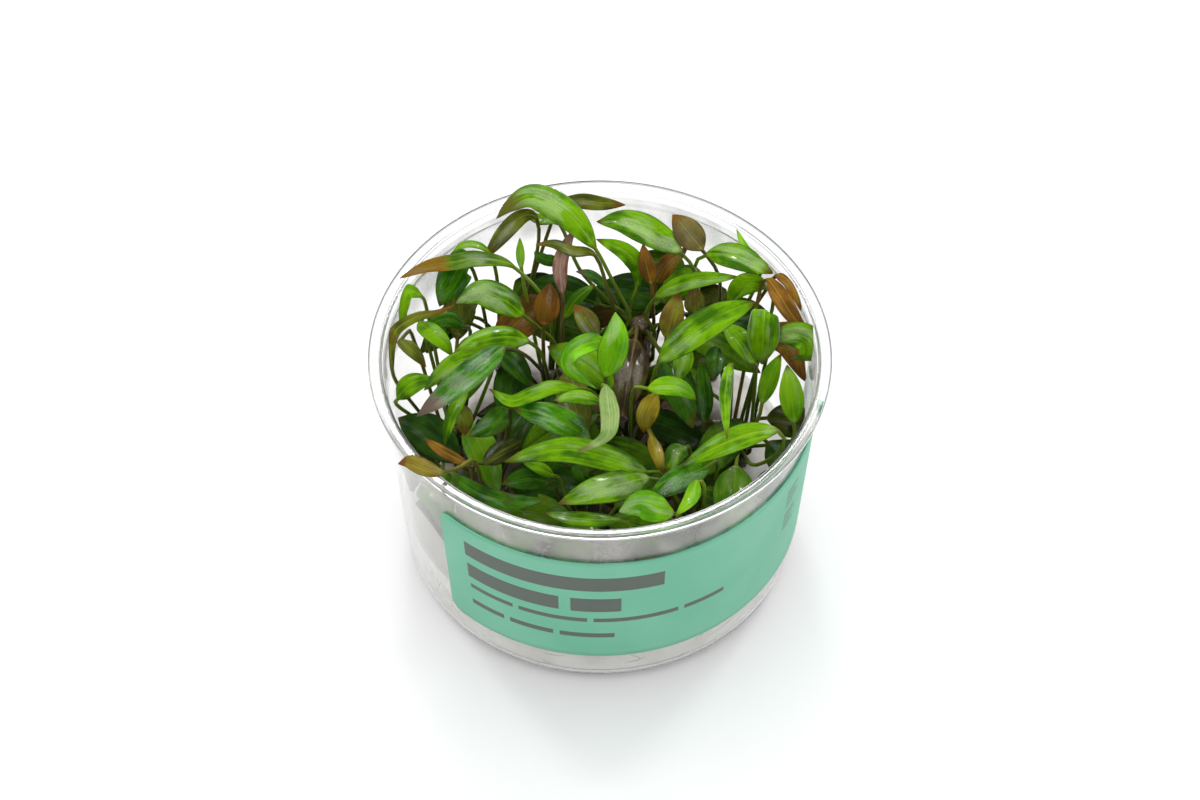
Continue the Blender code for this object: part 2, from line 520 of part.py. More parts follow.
def keep_inside(points, clear=CLEAR_WALL):
    """Pushes points in from the wall and up from the gel, except where they have passed over the rim."""
    points = points.copy()
    radius = np.hypot(points[:, 0], points[:, 1])
    most = np.array([inner_radius(z) for z in points[:, 2]]) - clear
    held = (points[:, 2] < RIM_TOP + clear) & (radius > most)
    points[held, :2] *= (most[held] / radius[held])[:, None]
    points[:, 2] = np.maximum(points[:, 2], GEL_TOP + GEL_RISE + CLEAR_GEL)
    return points


def drawn_points(leaf, towards):
    """The leaf's chosen points in the cup's frame, moved towards the eye by some millimetres."""
    eye_line = np.array((0, -math.cos(EYE_TILT), math.sin(EYE_TILT)))
    return np.array([from_board(*point) for point in leaf.course]) + towards * eye_line


def leaf_rings(leaf, foot, drawn, swell=0.0, count=0):
    """The leaf's rings of four points (left edge, upper face, right edge, underside) and its tip.

    A count of zero lets the leaf's length set the number of its rings.
    """
    points = keep_inside(np.vstack((foot, drawn)))
    line, length, at_points = smooth_course(points)
    neck = at_points[leaf.neck + 1]
    places = ring_places(length[-1], neck, count)
    centres = np.stack([np.interp(places, length, line[:, axis]) for axis in range(3)], axis=1)
    centres = keep_inside(centres)
    lean = math.radians(leaf.lean)
    across, out = blade_frames(np.vstack((centres, line[-1])), np.array((0, -math.sin(lean), math.cos(lean))))
    across, out = across[:-1], out[:-1]
    share = np.clip((places - neck) / (length[-1] - neck), 0, 1)
    half = np.hypot(STALK_HALF * (1 - STALK_TAPER * share), leaf.width / 2 * blade_half_width(share)) + swell
    thick = np.where(share > 0, LEAF_THICK / 2, STALK_HALF) + swell
    lift = np.sin(BLADE_FOLD) * half * (share > 0)
    left = keep_inside(centres + across * half[:, None] + out * lift[:, None], CLEAR_WALL_EDGE)
    right = keep_inside(centres - across * half[:, None] + out * lift[:, None], CLEAR_WALL_EDGE)
    upper = centres + out * thick[:, None]
    under = centres - out * thick[:, None]
    rings = np.stack((left, upper, right, under), axis=1)
    return rings, keep_inside(line[-1:])[0]


def leaf_mesh(rings, tip):
    """A closed mesh of the rings, with a flat foot and a pointed tip."""
    count = len(rings)
    verts = np.vstack((rings.reshape(-1, 3), tip))
    faces = [(3, 2, 1, 0)]
    for ring in range(count - 1):
        low = 4 * ring
        for i in range(4):
            j = (i + 1) % 4
            faces.append((low + i, low + j, low + 4 + j, low + 4 + i))
    last = 4 * (count - 1)
    faces += [(last + i, last + (i + 1) % 4, 4 * count) for i in range(4)]
    return verts, faces


def tree_of(verts, faces):
    return BVHTree.FromPolygons([Vector(v) for v in verts], faces)


class Bed:
    """The solids that already have their place, kept as search trees with their boxes."""

    def __init__(self):
        self.kept = []

    def add(self, verts, faces, owner=None):
        self.kept.append((verts.min(axis=0), verts.max(axis=0), tree_of(verts, faces), owner))

    def is_free(self, verts, faces, own=None):
        """Whether a closed mesh is clear of all that is kept, apart from the stem that it grows from."""
        low, high = verts.min(axis=0), verts.max(axis=0)
        tree = None
        for other_low, other_high, other, owner in self.kept:
            if (own is not None and owner is own) or (low > other_high).any() or (high < other_low).any():
                continue
            tree = tree or tree_of(verts, faces)
            if tree.overlap(other):
                return False
        return True


def place_leaf(leaf, crown, bed):
    """Finds the first way of giving way that leaves the leaf clear of all others, or None."""
    reach = crown.radius + STALK_HALF + CLEAR_PIECES + FOOT_CLEAR
    for tier in TIERS:
        for towards in TOWARDS_EYE:
            drawn = drawn_points(leaf, towards)
            aim = math.atan2(drawn[0, 1] - crown.y, drawn[0, 0] - crown.x)
            for turn in TURNS:
                angle = aim + math.radians(turn)
                beside = (crown.x + reach * math.cos(angle), crown.y + reach * math.sin(angle))
                foot = np.array((*beside, crown.top - FOOT_DROP - tier))
                if bed.is_free(*leaf_mesh(*leaf_rings(leaf, foot, drawn, CLEAR_PIECES))):
                    verts, faces = leaf_mesh(*leaf_rings(leaf, foot, drawn))
                    bed.add(verts, faces)
                    return verts, faces
    return None


class Stem:
    """A crown while its young leaves grow from it."""

    def __init__(self, crown):
        self.crown = crown
        foot = GEL_TOP + GAP
        low, middle, high = np.linspace(foot + COLLAR_RISE, crown.top - DOME_DROP, 3)
        shoulder, crest = (crown.radius * share for share in DOME_SHARES)
        outline = [(0, foot), (crown.radius * COLLAR_FLARE, foot), (crown.radius, low)]
        outline += [(crown.radius, middle), (shoulder, high), (crest, crown.top), (0, crown.top + DOME_TIP)]
        verts, self.faces = turned(outline, CROWN_SIDES)
        self.verts = verts + np.array((crown.x, crown.y, 0))
        self.tree = tree_of(self.verts, self.faces)
        rings = len(outline) - 2
        self.patches = {(side, band): self.faces[side * (rings + 1) + 2 + band]
                        for side in range(CROWN_SIDES) for band in SPROUT_BANDS}

    def patches_near(self, aim):
        """The free faces, those that look towards the aim first, and the upper before the lower ones."""
        def turn_from(key):
            angle = (key[0] + 0.5) * 2 * math.pi / CROWN_SIDES
            return abs(math.remainder(angle - aim, 2 * math.pi)) - 0.1 * key[1]
        return sorted(self.patches, key=turn_from)

    def foot_of(self, key):
        """Where a young leaf's first ring stands: just off the face, level with its upper edge."""
        corners = self.verts[list(self.patches[key])]
        outward = corners.mean(axis=0) - np.array((self.crown.x, self.crown.y, 0))
        outward[2] = 0
        outward /= np.linalg.norm(outward)
        foot = corners.mean(axis=0) + outward * (STALK_HALF + SPROUT_GAP)
        foot[2] = corners[2:, 2].mean() + SPROUT_LIFT
        return foot

    def sprout(self, key, rings, tip):
        """The closed mesh of a young leaf together with the face that it grows from."""
        corners = self.verts[list(self.patches[key])]
        first = rings[0]
        orders = [np.roll(np.arange(4), shift) for shift in range(4)]
        best = min(orders, key=lambda order: np.sum((first[order] - corners) ** 2))
        return leaf_mesh(np.concatenate((corners[None], rings[:, best])), tip)

    def grow(self, key, verts, faces):
        """Takes a young leaf into the stem's mesh in place of the face that it grows from."""
        patch = self.patches.pop(key)
        at = np.concatenate((patch, len(self.verts) + np.arange(len(verts) - 4)))
        self.faces.remove(patch)
        self.faces += [tuple(int(at[i]) for i in face) for face in faces[1:]]
        self.verts = np.vstack((self.verts, verts[4:]))


def place_young(leaf, stem, bed, courses):
    """Lets a small leaf grow from the first face of its stem where it is clear of all others.

    A course whose blade alone meets another leaf is left at once.
    """
    for drawn in courses:
        aim = math.atan2(drawn[0, 1] - stem.crown.y, drawn[0, 0] - stem.crown.x)
        for key in stem.patches_near(aim)[:PATCHES_TRIED]:
            foot = stem.foot_of(key)
            rings, tip = leaf_rings(leaf, foot, drawn, CLEAR_PIECES, RINGS_SMALL)
            if not bed.is_free(*leaf_mesh(rings[1:], tip)):
                break
            swollen = stem.sprout(key, rings, tip)
            slim = leaf_rings(leaf, foot, drawn, count=RINGS_SMALL)
            if bed.is_free(*swollen, own=stem) and not tree_of(*leaf_mesh(*slim)).overlap(stem.tree):
                verts, faces = stem.sprout(key, *slim)
                bed.add(verts, faces)
                stem.grow(key, verts, faces)
                return True
    return False


def material(name, colour, roughness, alpha=1.0):
    made = bpy.data.materials.new(name)
    made.use_nodes = True
    shader = made.node_tree.nodes["Principled BSDF"]
    shader.inputs["Base Color"].default_value = colour
    shader.inputs["Roughness"].default_value = roughness
    shader.inputs["Metallic"].default_value = 0.0
    shader.inputs["Alpha"].default_value = alpha
    return made


def add_object(name, verts, faces, look, smooth=True):
    """Makes one named object from vertices in millimetres, with its faces turned outwards."""
    mesh = bpy.data.meshes.new(name)
    mesh.from_pydata((np.asarray(verts) * MM).tolist(), [], faces)
    work = bmesh.new()
    work.from_mesh(mesh)
    bmesh.ops.recalc_face_normals(work, faces=work.faces)
    if work.calc_volume(signed=True) < 0:
        bmesh.ops.reverse_faces(work, faces=work.faces)
    work.to_mesh(mesh)
    work.free()
    if smooth:
        mesh.shade_smooth()
        mesh.set_sharp_from_angle(angle=math.radians(35))
    mesh.materials.append(look)
    made = bpy.data.objects.new(name, mesh)
    bpy.context.scene.collection.objects.link(made)
    return made


def box_mesh(low, high):
    corners = [(x, y, z) for x in (low[0], high[0]) for y in (low[1], high[1]) for z in (low[2], high[2])]
    faces = [(0, 1, 3, 2), (4, 6, 7, 5), (0, 4, 5, 1), (2, 3, 7, 6), (0, 2, 6, 4), (1, 5, 7, 3)]
    return np.array(corners, float), faces


def build_vessel():
    """The cup, its gel and its label."""
    clear = material("clear plastic", (0.93, 0.95, 0.95, 1), 0.05, alpha=0.25)
    jelly = material("rooting gel", (0.62, 0.60, 0.56, 1), 0.35)
    paper = material("label paper", (0.15, 0.44, 0.31, 1), 0.55)
    add_object("cup", *turned(cup_profile(), CUP_SIDES), clear)
    add_object("gel", *turned(gel_profile(), GEL_SIDES), jelly)
    add_object("label", *label_mesh(), paper)


def young_place(index):
    """Where a young leaf's blade lies: a place of a sunflower pattern across the cup, and its height."""
    share = math.sqrt((index + 0.5) / YOUNG_LEAVES)
    x = YOUNG_FIELD * share * math.cos(index * GOLDEN)
    y = YOUNG_FIELD * share * math.sin(index * GOLDEN)
    high = YOUNG_HIGH - YOUNG_MIDDLE_DROP * (1 - share) - YOUNG_BACK_DROP * max(y, 0)
    return x, y, YOUNG_LOW + (high - YOUNG_LOW) * math.modf(index * HEIGHT_SHARE)[0]


def young_courses(crown, place):
    """A young leaf's courses, the straightest first: up beside its crown, over its place, then drooping."""
    away = math.hypot(place[0] - crown.x, place[1] - crown.y)
    aim = math.atan2(place[1] - crown.y, place[0] - crown.x)
    neck = max(away - YOUNG_BEFORE, YOUNG_NECK[0] * away)
    base = np.array((crown.x, crown.y, crown.top))
    for lift in YOUNG_LIFTS:
        rise = place[2] + lift - crown.top
        steps = ((YOUNG_KNEE[0] * neck, YOUNG_KNEE[1] * rise), (neck, YOUNG_NECK[1] * rise),
                 (away + YOUNG_CREST, rise), (neck + YOUNG_BEFORE + YOUNG_BEYOND, rise - YOUNG_DROOP))
        for turn in YOUNG_TURNS:
            x, y = math.cos(aim + turn), math.sin(aim + turn)
            yield np.array([base + (x * reach, y * reach, up) for reach, up in steps])


def grow_young(index, stems, bed):
    """Lets a young leaf grow towards its place from the first of the nearest crowns that has room for it."""
    place = young_place(index)
    width = YOUNG_NARROW + (YOUNG_WIDE - YOUNG_NARROW) * math.modf(index * WIDTH_SHARE)[0]
    near = sorted(CROWNS, key=lambda crown: math.hypot(place[0] - crown.x, place[1] - crown.y))
    for crown in near[:CROWNS_TRIED]:
        leaf = Leaf("young", crown.name, width, (), lean=YOUNG_LEAN)
        if place_young(leaf, stems[crown.name], bed, young_courses(crown, place)):
            return


def build_plants():
    """The crowns first, then the large leaves and the small ones, each clear of what is there.

    The young leaves come last, and one that finds no room is left out.
    """
    bed = Bed()
    bed.add(*box_mesh(OPEN_LOW, OPEN_HIGH))
    looks = {}
    bark = material("crown", (0.12, 0.075, 0.03, 1), 0.6)
    stems = {crown.name: Stem(crown) for crown in CROWNS}
    for stem in stems.values():
        bed.add(stem.verts, stem.faces, owner=stem)
    for leaf in LARGE:
        placed = place_leaf(leaf, stems[leaf.crown].crown, bed)
        if placed is None:
            raise ValueError(f"there is no room for {leaf.name}")
        if leaf.tone not in looks:
            looks[leaf.tone] = material(*leaf.tone, LEAF_ROUGHNESS)
        add_object(leaf.name, *placed, looks[leaf.tone])
    for leaf in SMALL:
        if not place_young(leaf, stems[leaf.crown], bed, (drawn_points(leaf, by) for by in TOWARDS_EYE)):
            raise ValueError(f"there is no room for {leaf.name}")
    for index in range(YOUNG_LEAVES):
        grow_young(index, stems, bed)
    for name, stem in stems.items():
        add_object(name, stem.verts, stem.faces, bark)


def main():
    for old in list(bpy.data.objects):
        bpy.data.objects.remove(old)
    build_vessel()
    build_plants()


main()
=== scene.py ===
"""The looks of a cryptocoryne tissue culture cup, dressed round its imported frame.

Sizes are millimetres until a mesh is made, +Z is up and the origin is the middle of the cup's foot. Each leaf
repeats the course that its solid follows, so that the fine blade lies where the solid is.
"""

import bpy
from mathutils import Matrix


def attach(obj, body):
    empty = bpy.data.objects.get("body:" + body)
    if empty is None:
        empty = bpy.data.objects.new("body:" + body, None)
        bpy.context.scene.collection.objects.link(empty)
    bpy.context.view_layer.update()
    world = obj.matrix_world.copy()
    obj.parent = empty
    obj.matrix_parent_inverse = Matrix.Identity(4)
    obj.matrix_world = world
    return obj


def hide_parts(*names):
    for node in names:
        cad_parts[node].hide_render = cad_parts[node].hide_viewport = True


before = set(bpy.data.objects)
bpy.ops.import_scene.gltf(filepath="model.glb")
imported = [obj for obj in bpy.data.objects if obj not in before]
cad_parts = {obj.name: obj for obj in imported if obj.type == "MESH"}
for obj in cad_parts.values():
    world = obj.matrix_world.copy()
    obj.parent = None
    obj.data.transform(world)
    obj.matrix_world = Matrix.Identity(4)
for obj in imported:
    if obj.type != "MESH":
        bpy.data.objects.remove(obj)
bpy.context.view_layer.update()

import logging
import math
from dataclasses import dataclass, field, replace
from enum import Enum
from typing import Callable, Iterator, Optional, Union

import bpy
import numpy as np
from mathutils import Vector

LOG = logging.getLogger("cryptocoryne")
MM = 0.001
PLACE = "blade_place"
RUN = "blade_run"

Colour = tuple[float, float, float]
Point = tuple[float, float, float]


# Shader maths


def operator(operation: str, swapped: bool = False) -> Callable[["Wire", Union["Wire", float]], "Wire"]:
    """A method that adds one Math node over a wire and another value.

    Args:
        operation: the node's operation.
        swapped: whether the other value comes first.

    Returns:
        The method.
    """
    def method(wire: "Wire", other: Union["Wire", float]) -> "Wire":
        return wire.apply(operation, *((other, wire) if swapped else (wire, other)))
    return method


class Wire:
    """A node's output that can be used in Python expressions."""

    def __init__(self, bench: "Bench", socket: bpy.types.NodeSocket) -> None:
        """Keeps the output and the bench that it belongs to."""
        self.bench = bench
        self.socket = socket

    def apply(self, operation: str, *values: Union["Wire", float]) -> "Wire":
        """Adds one Math node over the values."""
        return self.bench.node("ShaderNodeMath", {"operation": operation}, dict(enumerate(values)))

    __add__ = __radd__ = operator("ADD")
    __sub__, __rsub__ = operator("SUBTRACT"), operator("SUBTRACT", swapped=True)
    __mul__ = __rmul__ = operator("MULTIPLY")
    __truediv__ = operator("DIVIDE")
    __pow__ = operator("POWER")
    larger = operator("MAXIMUM")

    def __abs__(self) -> "Wire":
        """This value without its sign."""
        return self.apply("ABSOLUTE", self)

    def wave(self) -> "Wire":
        """A triangle wave of this value: zero at whole numbers and one halfway between them."""
        return abs(self.apply("FRACT", self) * 2 - 1) * -1 + 1

    def ease(self, low: float, high: float) -> "Wire":
        """Zero below low and one above high, with a smooth step between."""
        sockets = {"Value": self, "From Min": low, "From Max": high}
        return self.bench.node("ShaderNodeMapRange", {"interpolation_type": "SMOOTHSTEP"}, sockets)


class Bench:
    """A material's or the world's node tree, to which nodes are added one call at a time."""

    def __init__(self, owner: Union[bpy.types.Material, bpy.types.World]) -> None:
        """Empties the tree.

        Args:
            owner: the material or world that the tree belongs to.
        """
        self.owner = owner
        owner.use_nodes = True
        self.tree = owner.node_tree
        self.tree.nodes.clear()

    def node(self, kind: str, settings: Optional[dict] = None, sockets: Optional[dict] = None,
             out: Union[int, str] = 0) -> Wire:
        """Adds a node.

        Args:
            kind: the node's type.
            settings: its properties, set first. "stops" holds a ramp's places and colours.
            sockets: a value or a wire for each input, by its number, name or identifier.
            out: the output that is returned.

        Returns:
            The chosen output.
        """
        made = self.tree.nodes.new(kind)
        for key, value in (settings or {}).items():
            if key == "stops":
                self._set_stops(made.color_ramp, value)
            else:
                setattr(made, key, value)
        for key, value in (sockets or {}).items():
            socket = self._find(made.inputs, key)
            if isinstance(value, Wire):
                self.tree.links.new(value.socket, socket)
            elif isinstance(value, tuple) and len(value) == 3 and socket.type == "RGBA":
                socket.default_value = (*value, 1.0)
            else:
                socket.default_value = value
        return Wire(self, self._find(made.outputs, out)) if len(made.outputs) else Wire(self, None)

    @staticmethod
    def _find(sockets: bpy.types.bpy_prop_collection, key: Union[int, str]) -> bpy.types.NodeSocket:
        """The socket with this number, identifier or name."""
        if isinstance(key, int):
            return sockets[key]
        return next(s for s in sockets if key in (s.identifier, s.name))

    @staticmethod
    def _set_stops(ramp: bpy.types.ColorRamp, stops: list[tuple[float, Colour]]) -> None:
        """Gives a ramp its stops."""
        while len(ramp.elements) < len(stops):
            ramp.elements.new(1.0)
        for element, (place, colour) in zip(ramp.elements, stops):
            element.position = place
            element.color = (*colour, 1.0)

    def attribute(self, name: str) -> tuple[Wire, Wire, Wire]:
        """The three numbers of a mesh attribute."""
        vector = self.node("ShaderNodeAttribute", {"attribute_name": name}, out="Vector")
        return self.split(vector)

    def split(self, vector: Wire) -> tuple[Wire, Wire, Wire]:
        """The three numbers of a vector."""
        first = self.node("ShaderNodeSeparateXYZ", sockets={0: vector})
        node = first.socket.node
        return first, Wire(self, node.outputs[1]), Wire(self, node.outputs[2])

    def join(self, x: Union[Wire, float], y: Union[Wire, float], z: Union[Wire, float]) -> Wire:
        """A vector of three numbers."""
        return self.node("ShaderNodeCombineXYZ", sockets={0: x, 1: y, 2: z})

    def place(self) -> Wire:
        """The point on the piece, in metres."""
        return self.node("ShaderNodeTexCoord", out="Object")

    def noise(self, vector: Wire, scale: float, detail: float = 2.0, rough: float = 0.5) -> Wire:
        """Fractal noise from about 0.25 to 0.75."""
        sockets = {"Vector": vector, "Scale": scale, "Detail": detail, "Roughness": rough}
        return self.node("ShaderNodeTexNoise", sockets=sockets)

    def mix(self, first: Union[Wire, Colour], second: Union[Wire, Colour], share: Union[Wire, float]) -> Wire:
        """A colour between two others."""
        sockets = {"Factor_Float": share, "A_Color": first, "B_Color": second}
        return self.node("ShaderNodeMix", {"data_type": "RGBA", "clamp_factor": True}, sockets, "Result_Color")

    def bump(self, height: Wire, depth: float) -> Wire:
        """A normal from a height between 0 and 1 that stands for a depth in metres."""
        return self.node("ShaderNodeBump", sockets={"Strength": 1.0, "Distance": depth, "Height": height})

    def skin(self, sockets: dict) -> Wire:
        """A Principled shader."""
        return self.node("ShaderNodeBsdfPrincipled", sockets=sockets)

    def finish(self, surface: Wire, volume: Optional[Wire] = None) -> bpy.types.Material:
        """Joins the shaders to the material's output and returns the material."""
        joined = {"Surface": surface} if volume is None else {"Surface": surface, "Volume": volume}
        self.node("ShaderNodeOutputMaterial", sockets=joined)
        return self.owner


# Finishes


Sockets = dict[Union[int, str], Union[Wire, float, Colour]]
Range = tuple[float, float]


class Finish:
    """A material's recipe, whose subclasses say what feeds each socket of a Principled shader."""

    name: str

    def sockets(self, bench: Bench) -> Sockets:
        """The value or pattern of each socket."""
        raise NotImplementedError

    def material(self) -> bpy.types.Material:
        """Builds the material."""
        bench = Bench(bpy.data.materials.new(self.name))
        return bench.finish(bench.skin(self.sockets(bench)))


@dataclass(frozen=True)
class Weave:
    """A noise over a blade: its scales along and across, its shift from the other noises, and its detail."""

    along: float
    across: float
    shift: float
    detail: float
    rough: float

    def over(self, bench: Bench, along: Wire, across: Wire, seed: Wire) -> Wire:
        """The noise at the blade's own coordinates, in millimetres."""
        place = bench.join(along * self.along, across * self.across, seed + self.shift)
        return bench.noise(place, 1.0, self.detail, self.rough)


STREAK = Weave(0.07, 1.5, 0.0, 3.0, 0.6)
CLOUD = Weave(0.16, 0.22, 9.0, 2.0, 0.5)
SPECKLE = Weave(1.9, 2.6, 17.0, 3.0, 0.65)
FILM = Weave(0.11, 0.45, 43.0, 2.0, 0.5)
DROPS = Weave(4.2, 4.2, 31.0, 1.0, 0.5)


@dataclass(frozen=True)
class PaintedShade:
    """Painted shade: how the leaves' colours are darkened low in the cup and a little towards its front, where less
    light reaches. Places are metres, and shares are of light.
    """

    shade: Colour = (0.006, 0.014, 0.002)
    heights: Range = (0.028, 0.0605)
    low_share: float = 0.13
    places: Range = (-0.046, -0.006)
    front_share: float = 0.74

    def light(self, bench: Bench) -> Wire:
        """The share of light at each point, which sets how much painted shade is mixed in."""
        _, back, height = bench.split(bench.place())
        by_height = height.ease(*self.heights) * (1 - self.low_share) + self.low_share
        return by_height * (back.ease(*self.places) * (1 - self.front_share) + self.front_share)


PAINTED_SHADE = PaintedShade()


@dataclass(frozen=True)
class LeafFinish(Finish):
    """How a leaf is coloured and how wet it is, with a painted sheen, painted glints and painted shade. Colours are
    linear, and shares run from 0 to 1.
    """

    name: str
    deep: Colour
    bright: Colour
    rib: Colour
    under: Colour
    stalk: Colour
    tip: Colour = (0.12, 0.075, 0.008)
    tip_from: float = 0.97
    margin: Colour = (0.045, 0.060, 0.020)
    margin_share: float = 0.65
    blotch: Colour = (0.06, 0.055, 0.010)
    blotch_share: float = 0.15
    streaks: float = 0.28
    ribs: float = 0.14
    # painted_sheen is a pale colour painted over the wet patches as a sheen; wet sets how much of it shows, besides
    # the coat.
    painted_sheen: Colour = (0.42, 0.60, 0.20)
    wet: float = 0.60
    # sparkle paints near-white glints on the drops and also raises the drops' relief.
    sparkle: float = 0.30
    roughness: float = 0.34

    def _blade(self, bench: Bench) -> tuple[Wire, Wire, Wire]:
        """The blade's colour on both sides, with its painted sheen, painted glints and painted shade, its film of
        water and its relief.

        Each step mixes one more mark over the last. The pair that eases a mark is where its noise or its place begins
        to show and where it shows fully, and what multiplies it is its share.

        Args:
            bench: the material's bench.

        Returns:
            The colour, the share of water and the height of the relief.
        """
        share, across, upper = bench.attribute(PLACE)
        along, offset, seed = bench.attribute(RUN)
        from_rib = abs(offset)
        from_middle = abs(across)
        streak, cloud, grain, film, drops = (
            weave.over(bench, along, offset, seed) for weave in (STREAK, CLOUD, SPECKLE, FILM, DROPS))
        side_rib = ((along - from_rib * 2.0) / 2.1 + seed).wave().ease(0.84, 1.0)
        long_rib = (from_middle * 3.4).wave().ease(0.80, 1.0) * from_middle.ease(0.10, 0.20)
        midrib = 1.0 - from_rib.ease(0.08, 0.24)
        blade = bench.mix(self.deep, self.bright, (cloud * 0.72 + streak * 0.28).ease(0.37, 0.61))
        blade = bench.mix(blade, self.rib, streak.ease(0.53, 0.80) * self.streaks)
        blade = bench.mix(blade, self.deep, (long_rib * 0.8 + side_rib * 0.3) * self.ribs)
        blade = bench.mix(blade, self.rib, midrib * (1.0 - share * 0.8) * 0.45)
        blade = bench.mix(blade, self.blotch, (cloud + grain * 0.3).ease(0.70, 0.80) * self.blotch_share)
        film = film.ease(0.58 - 0.14 * self.wet, 0.74 - 0.14 * self.wet) * (1.0 - from_middle.ease(0.45, 0.95))
        # Painted sheen: the pale colour painted over the wet patches along the blade's middle.
        blade = bench.mix(blade, self.painted_sheen, film * (grain.ease(0.30, 0.60) * 0.4 + 0.6) * (0.44 * self.wet))
        # Painted glints: near-white dots painted on the drops within the wet patches.
        drops = drops.ease(0.62, 0.70)
        blade = bench.mix(blade, (0.78, 0.88, 0.80), drops * film * self.sparkle)
        margin = (from_middle + (grain - 0.5) * 0.10).ease(0.88, 0.98)
        blade = bench.mix(blade, self.margin, margin * self.margin_share)
        to_tip = share + (cloud - 0.5) * 0.25
        blade = bench.mix(blade, self.tip, to_tip.ease(self.tip_from - 0.12, self.tip_from + 0.04))
        under = bench.mix(self.under, self.rib, midrib * 0.5 + streak.ease(0.5, 0.8) * 0.25)
        skin = bench.mix(under, blade, upper.ease(0.25, 0.75))
        # Painted shade: blade and stalk are mixed towards a dark shade colour low in the cup and towards its front.
        lit = PAINTED_SHADE.light(bench)
        stalk = bench.mix(self.stalk, self.rib, streak.ease(0.4, 0.75) * 0.4)
        stalk = bench.mix(PAINTED_SHADE.shade, stalk, lit * 0.55 + 0.45)
        skin = bench.mix(stalk, bench.mix(PAINTED_SHADE.shade, skin, lit), share.ease(0.0, 0.10))
        relief = grain * 0.45 + long_rib * 0.2 + side_rib * 0.1 + midrib * 0.3 + cloud * 0.5 + drops * self.sparkle
        return skin, film, relief

    def sockets(self, bench: Bench) -> Sockets:
        """The blade's colours, darkened deep in the cup by painted shade, with a painted sheen, under a film of
        water.
        """
        skin, film, relief = self._blade(bench)
        return {
            "Base Color": skin,
            "Roughness": (relief - 0.6) * 0.25 + self.roughness,
            "IOR": 1.40,
            "Specular IOR Level": 0.07,
            "Coat Weight": film * self.wet,
            "Coat Roughness": 0.09,
            "Normal": bench.bump(relief, 0.00022 + 0.00012 * self.sparkle),
        }


GREEN = LeafFinish("green leaf", (0.040, 0.140, 0.001), (0.190, 0.450, 0.002), (0.33, 0.58, 0.02),
                   (0.12, 0.22, 0.03), (0.13, 0.20, 0.018))
FRESH = LeafFinish("yellow-green leaf", (0.13, 0.40, 0.004), (0.28, 0.62, 0.010), (0.48, 0.72, 0.07),
                   (0.24, 0.36, 0.05), (0.20, 0.30, 0.02), streaks=0.35, ribs=0.08, blotch_share=0.08,
                   margin_share=0.35)
DARK = LeafFinish("dark green leaf", (0.014, 0.060, 0.002), (0.052, 0.190, 0.003), (0.13, 0.30, 0.02),
                  (0.06, 0.08, 0.015), (0.08, 0.09, 0.014), margin=(0.035, 0.025, 0.012),
                  blotch=(0.035, 0.020, 0.008), blotch_share=0.5, painted_sheen=(0.24, 0.34, 0.26))
OLIVE = LeafFinish("olive leaf", (0.065, 0.085, 0.008), (0.19, 0.23, 0.015), (0.34, 0.38, 0.05),
                   (0.20, 0.14, 0.05), (0.13, 0.13, 0.02), tip=(0.20, 0.10, 0.015), tip_from=0.85,
                   margin=(0.07, 0.035, 0.015), blotch=(0.13, 0.060, 0.020), blotch_share=0.6, roughness=0.38,
                   painted_sheen=(0.36, 0.38, 0.28))
BROWN = LeafFinish("orange-brown leaf", (0.12, 0.055, 0.008), (0.30, 0.135, 0.015), (0.44, 0.34, 0.03),
                   (0.32, 0.15, 0.05), (0.15, 0.10, 0.02), tip=(0.14, 0.055, 0.015), tip_from=0.93,
                   margin=(0.10, 0.045, 0.02), blotch=(0.09, 0.12, 0.008), blotch_share=0.6, roughness=0.40,
                   painted_sheen=(0.50, 0.36, 0.26), wet=0.25)
ROSY = LeafFinish("rosy brown leaf", (0.30, 0.13, 0.09), (0.60, 0.36, 0.27), (0.66, 0.48, 0.38),
                  (0.48, 0.26, 0.18), (0.24, 0.13, 0.05), tip=(0.24, 0.09, 0.04), margin=(0.14, 0.05, 0.03),
                  blotch=(0.16, 0.06, 0.04), blotch_share=0.6, streaks=0.6, ribs=0.6, painted_sheen=(0.75, 0.62, 0.58))
SILVER = LeafFinish("silvery wet leaf", (0.030, 0.15, 0.008), (0.11, 0.31, 0.03), (0.28, 0.38, 0.18),
                    (0.22, 0.22, 0.16), (0.12, 0.14, 0.04), tip=(0.20, 0.15, 0.11), tip_from=0.80,
                    margin=(0.16, 0.14, 0.11), margin_share=0.9, blotch=(0.22, 0.25, 0.19), blotch_share=0.6,
                    painted_sheen=(0.42, 0.50, 0.44), wet=0.75, sparkle=1.0)
OCHRE = LeafFinish("ochre leaf", (0.27, 0.19, 0.008), (0.48, 0.38, 0.025), (0.58, 0.52, 0.09),
                   (0.42, 0.33, 0.06), (0.24, 0.20, 0.02), tip=(0.30, 0.15, 0.015), tip_from=0.9, streaks=0.4,
                   margin=(0.16, 0.08, 0.015), painted_sheen=(0.62, 0.58, 0.36))


class Tone(Enum):
    """A leaf's slot in the record, with the finish that it has unless the leaf has one of its own."""

    GREEN = ("green_leaf", GREEN)
    FRESH = ("fresh_leaf", FRESH)
    DARK = ("dark_leaf", DARK)
    OLIVE = ("olive_leaf", OLIVE)
    BROWN = ("brown_leaf", BROWN)
    ROSY = ("rosy_leaf", ROSY)
    SILVER = ("silver_leaf", SILVER)
    OCHRE = ("ochre_leaf", OCHRE)


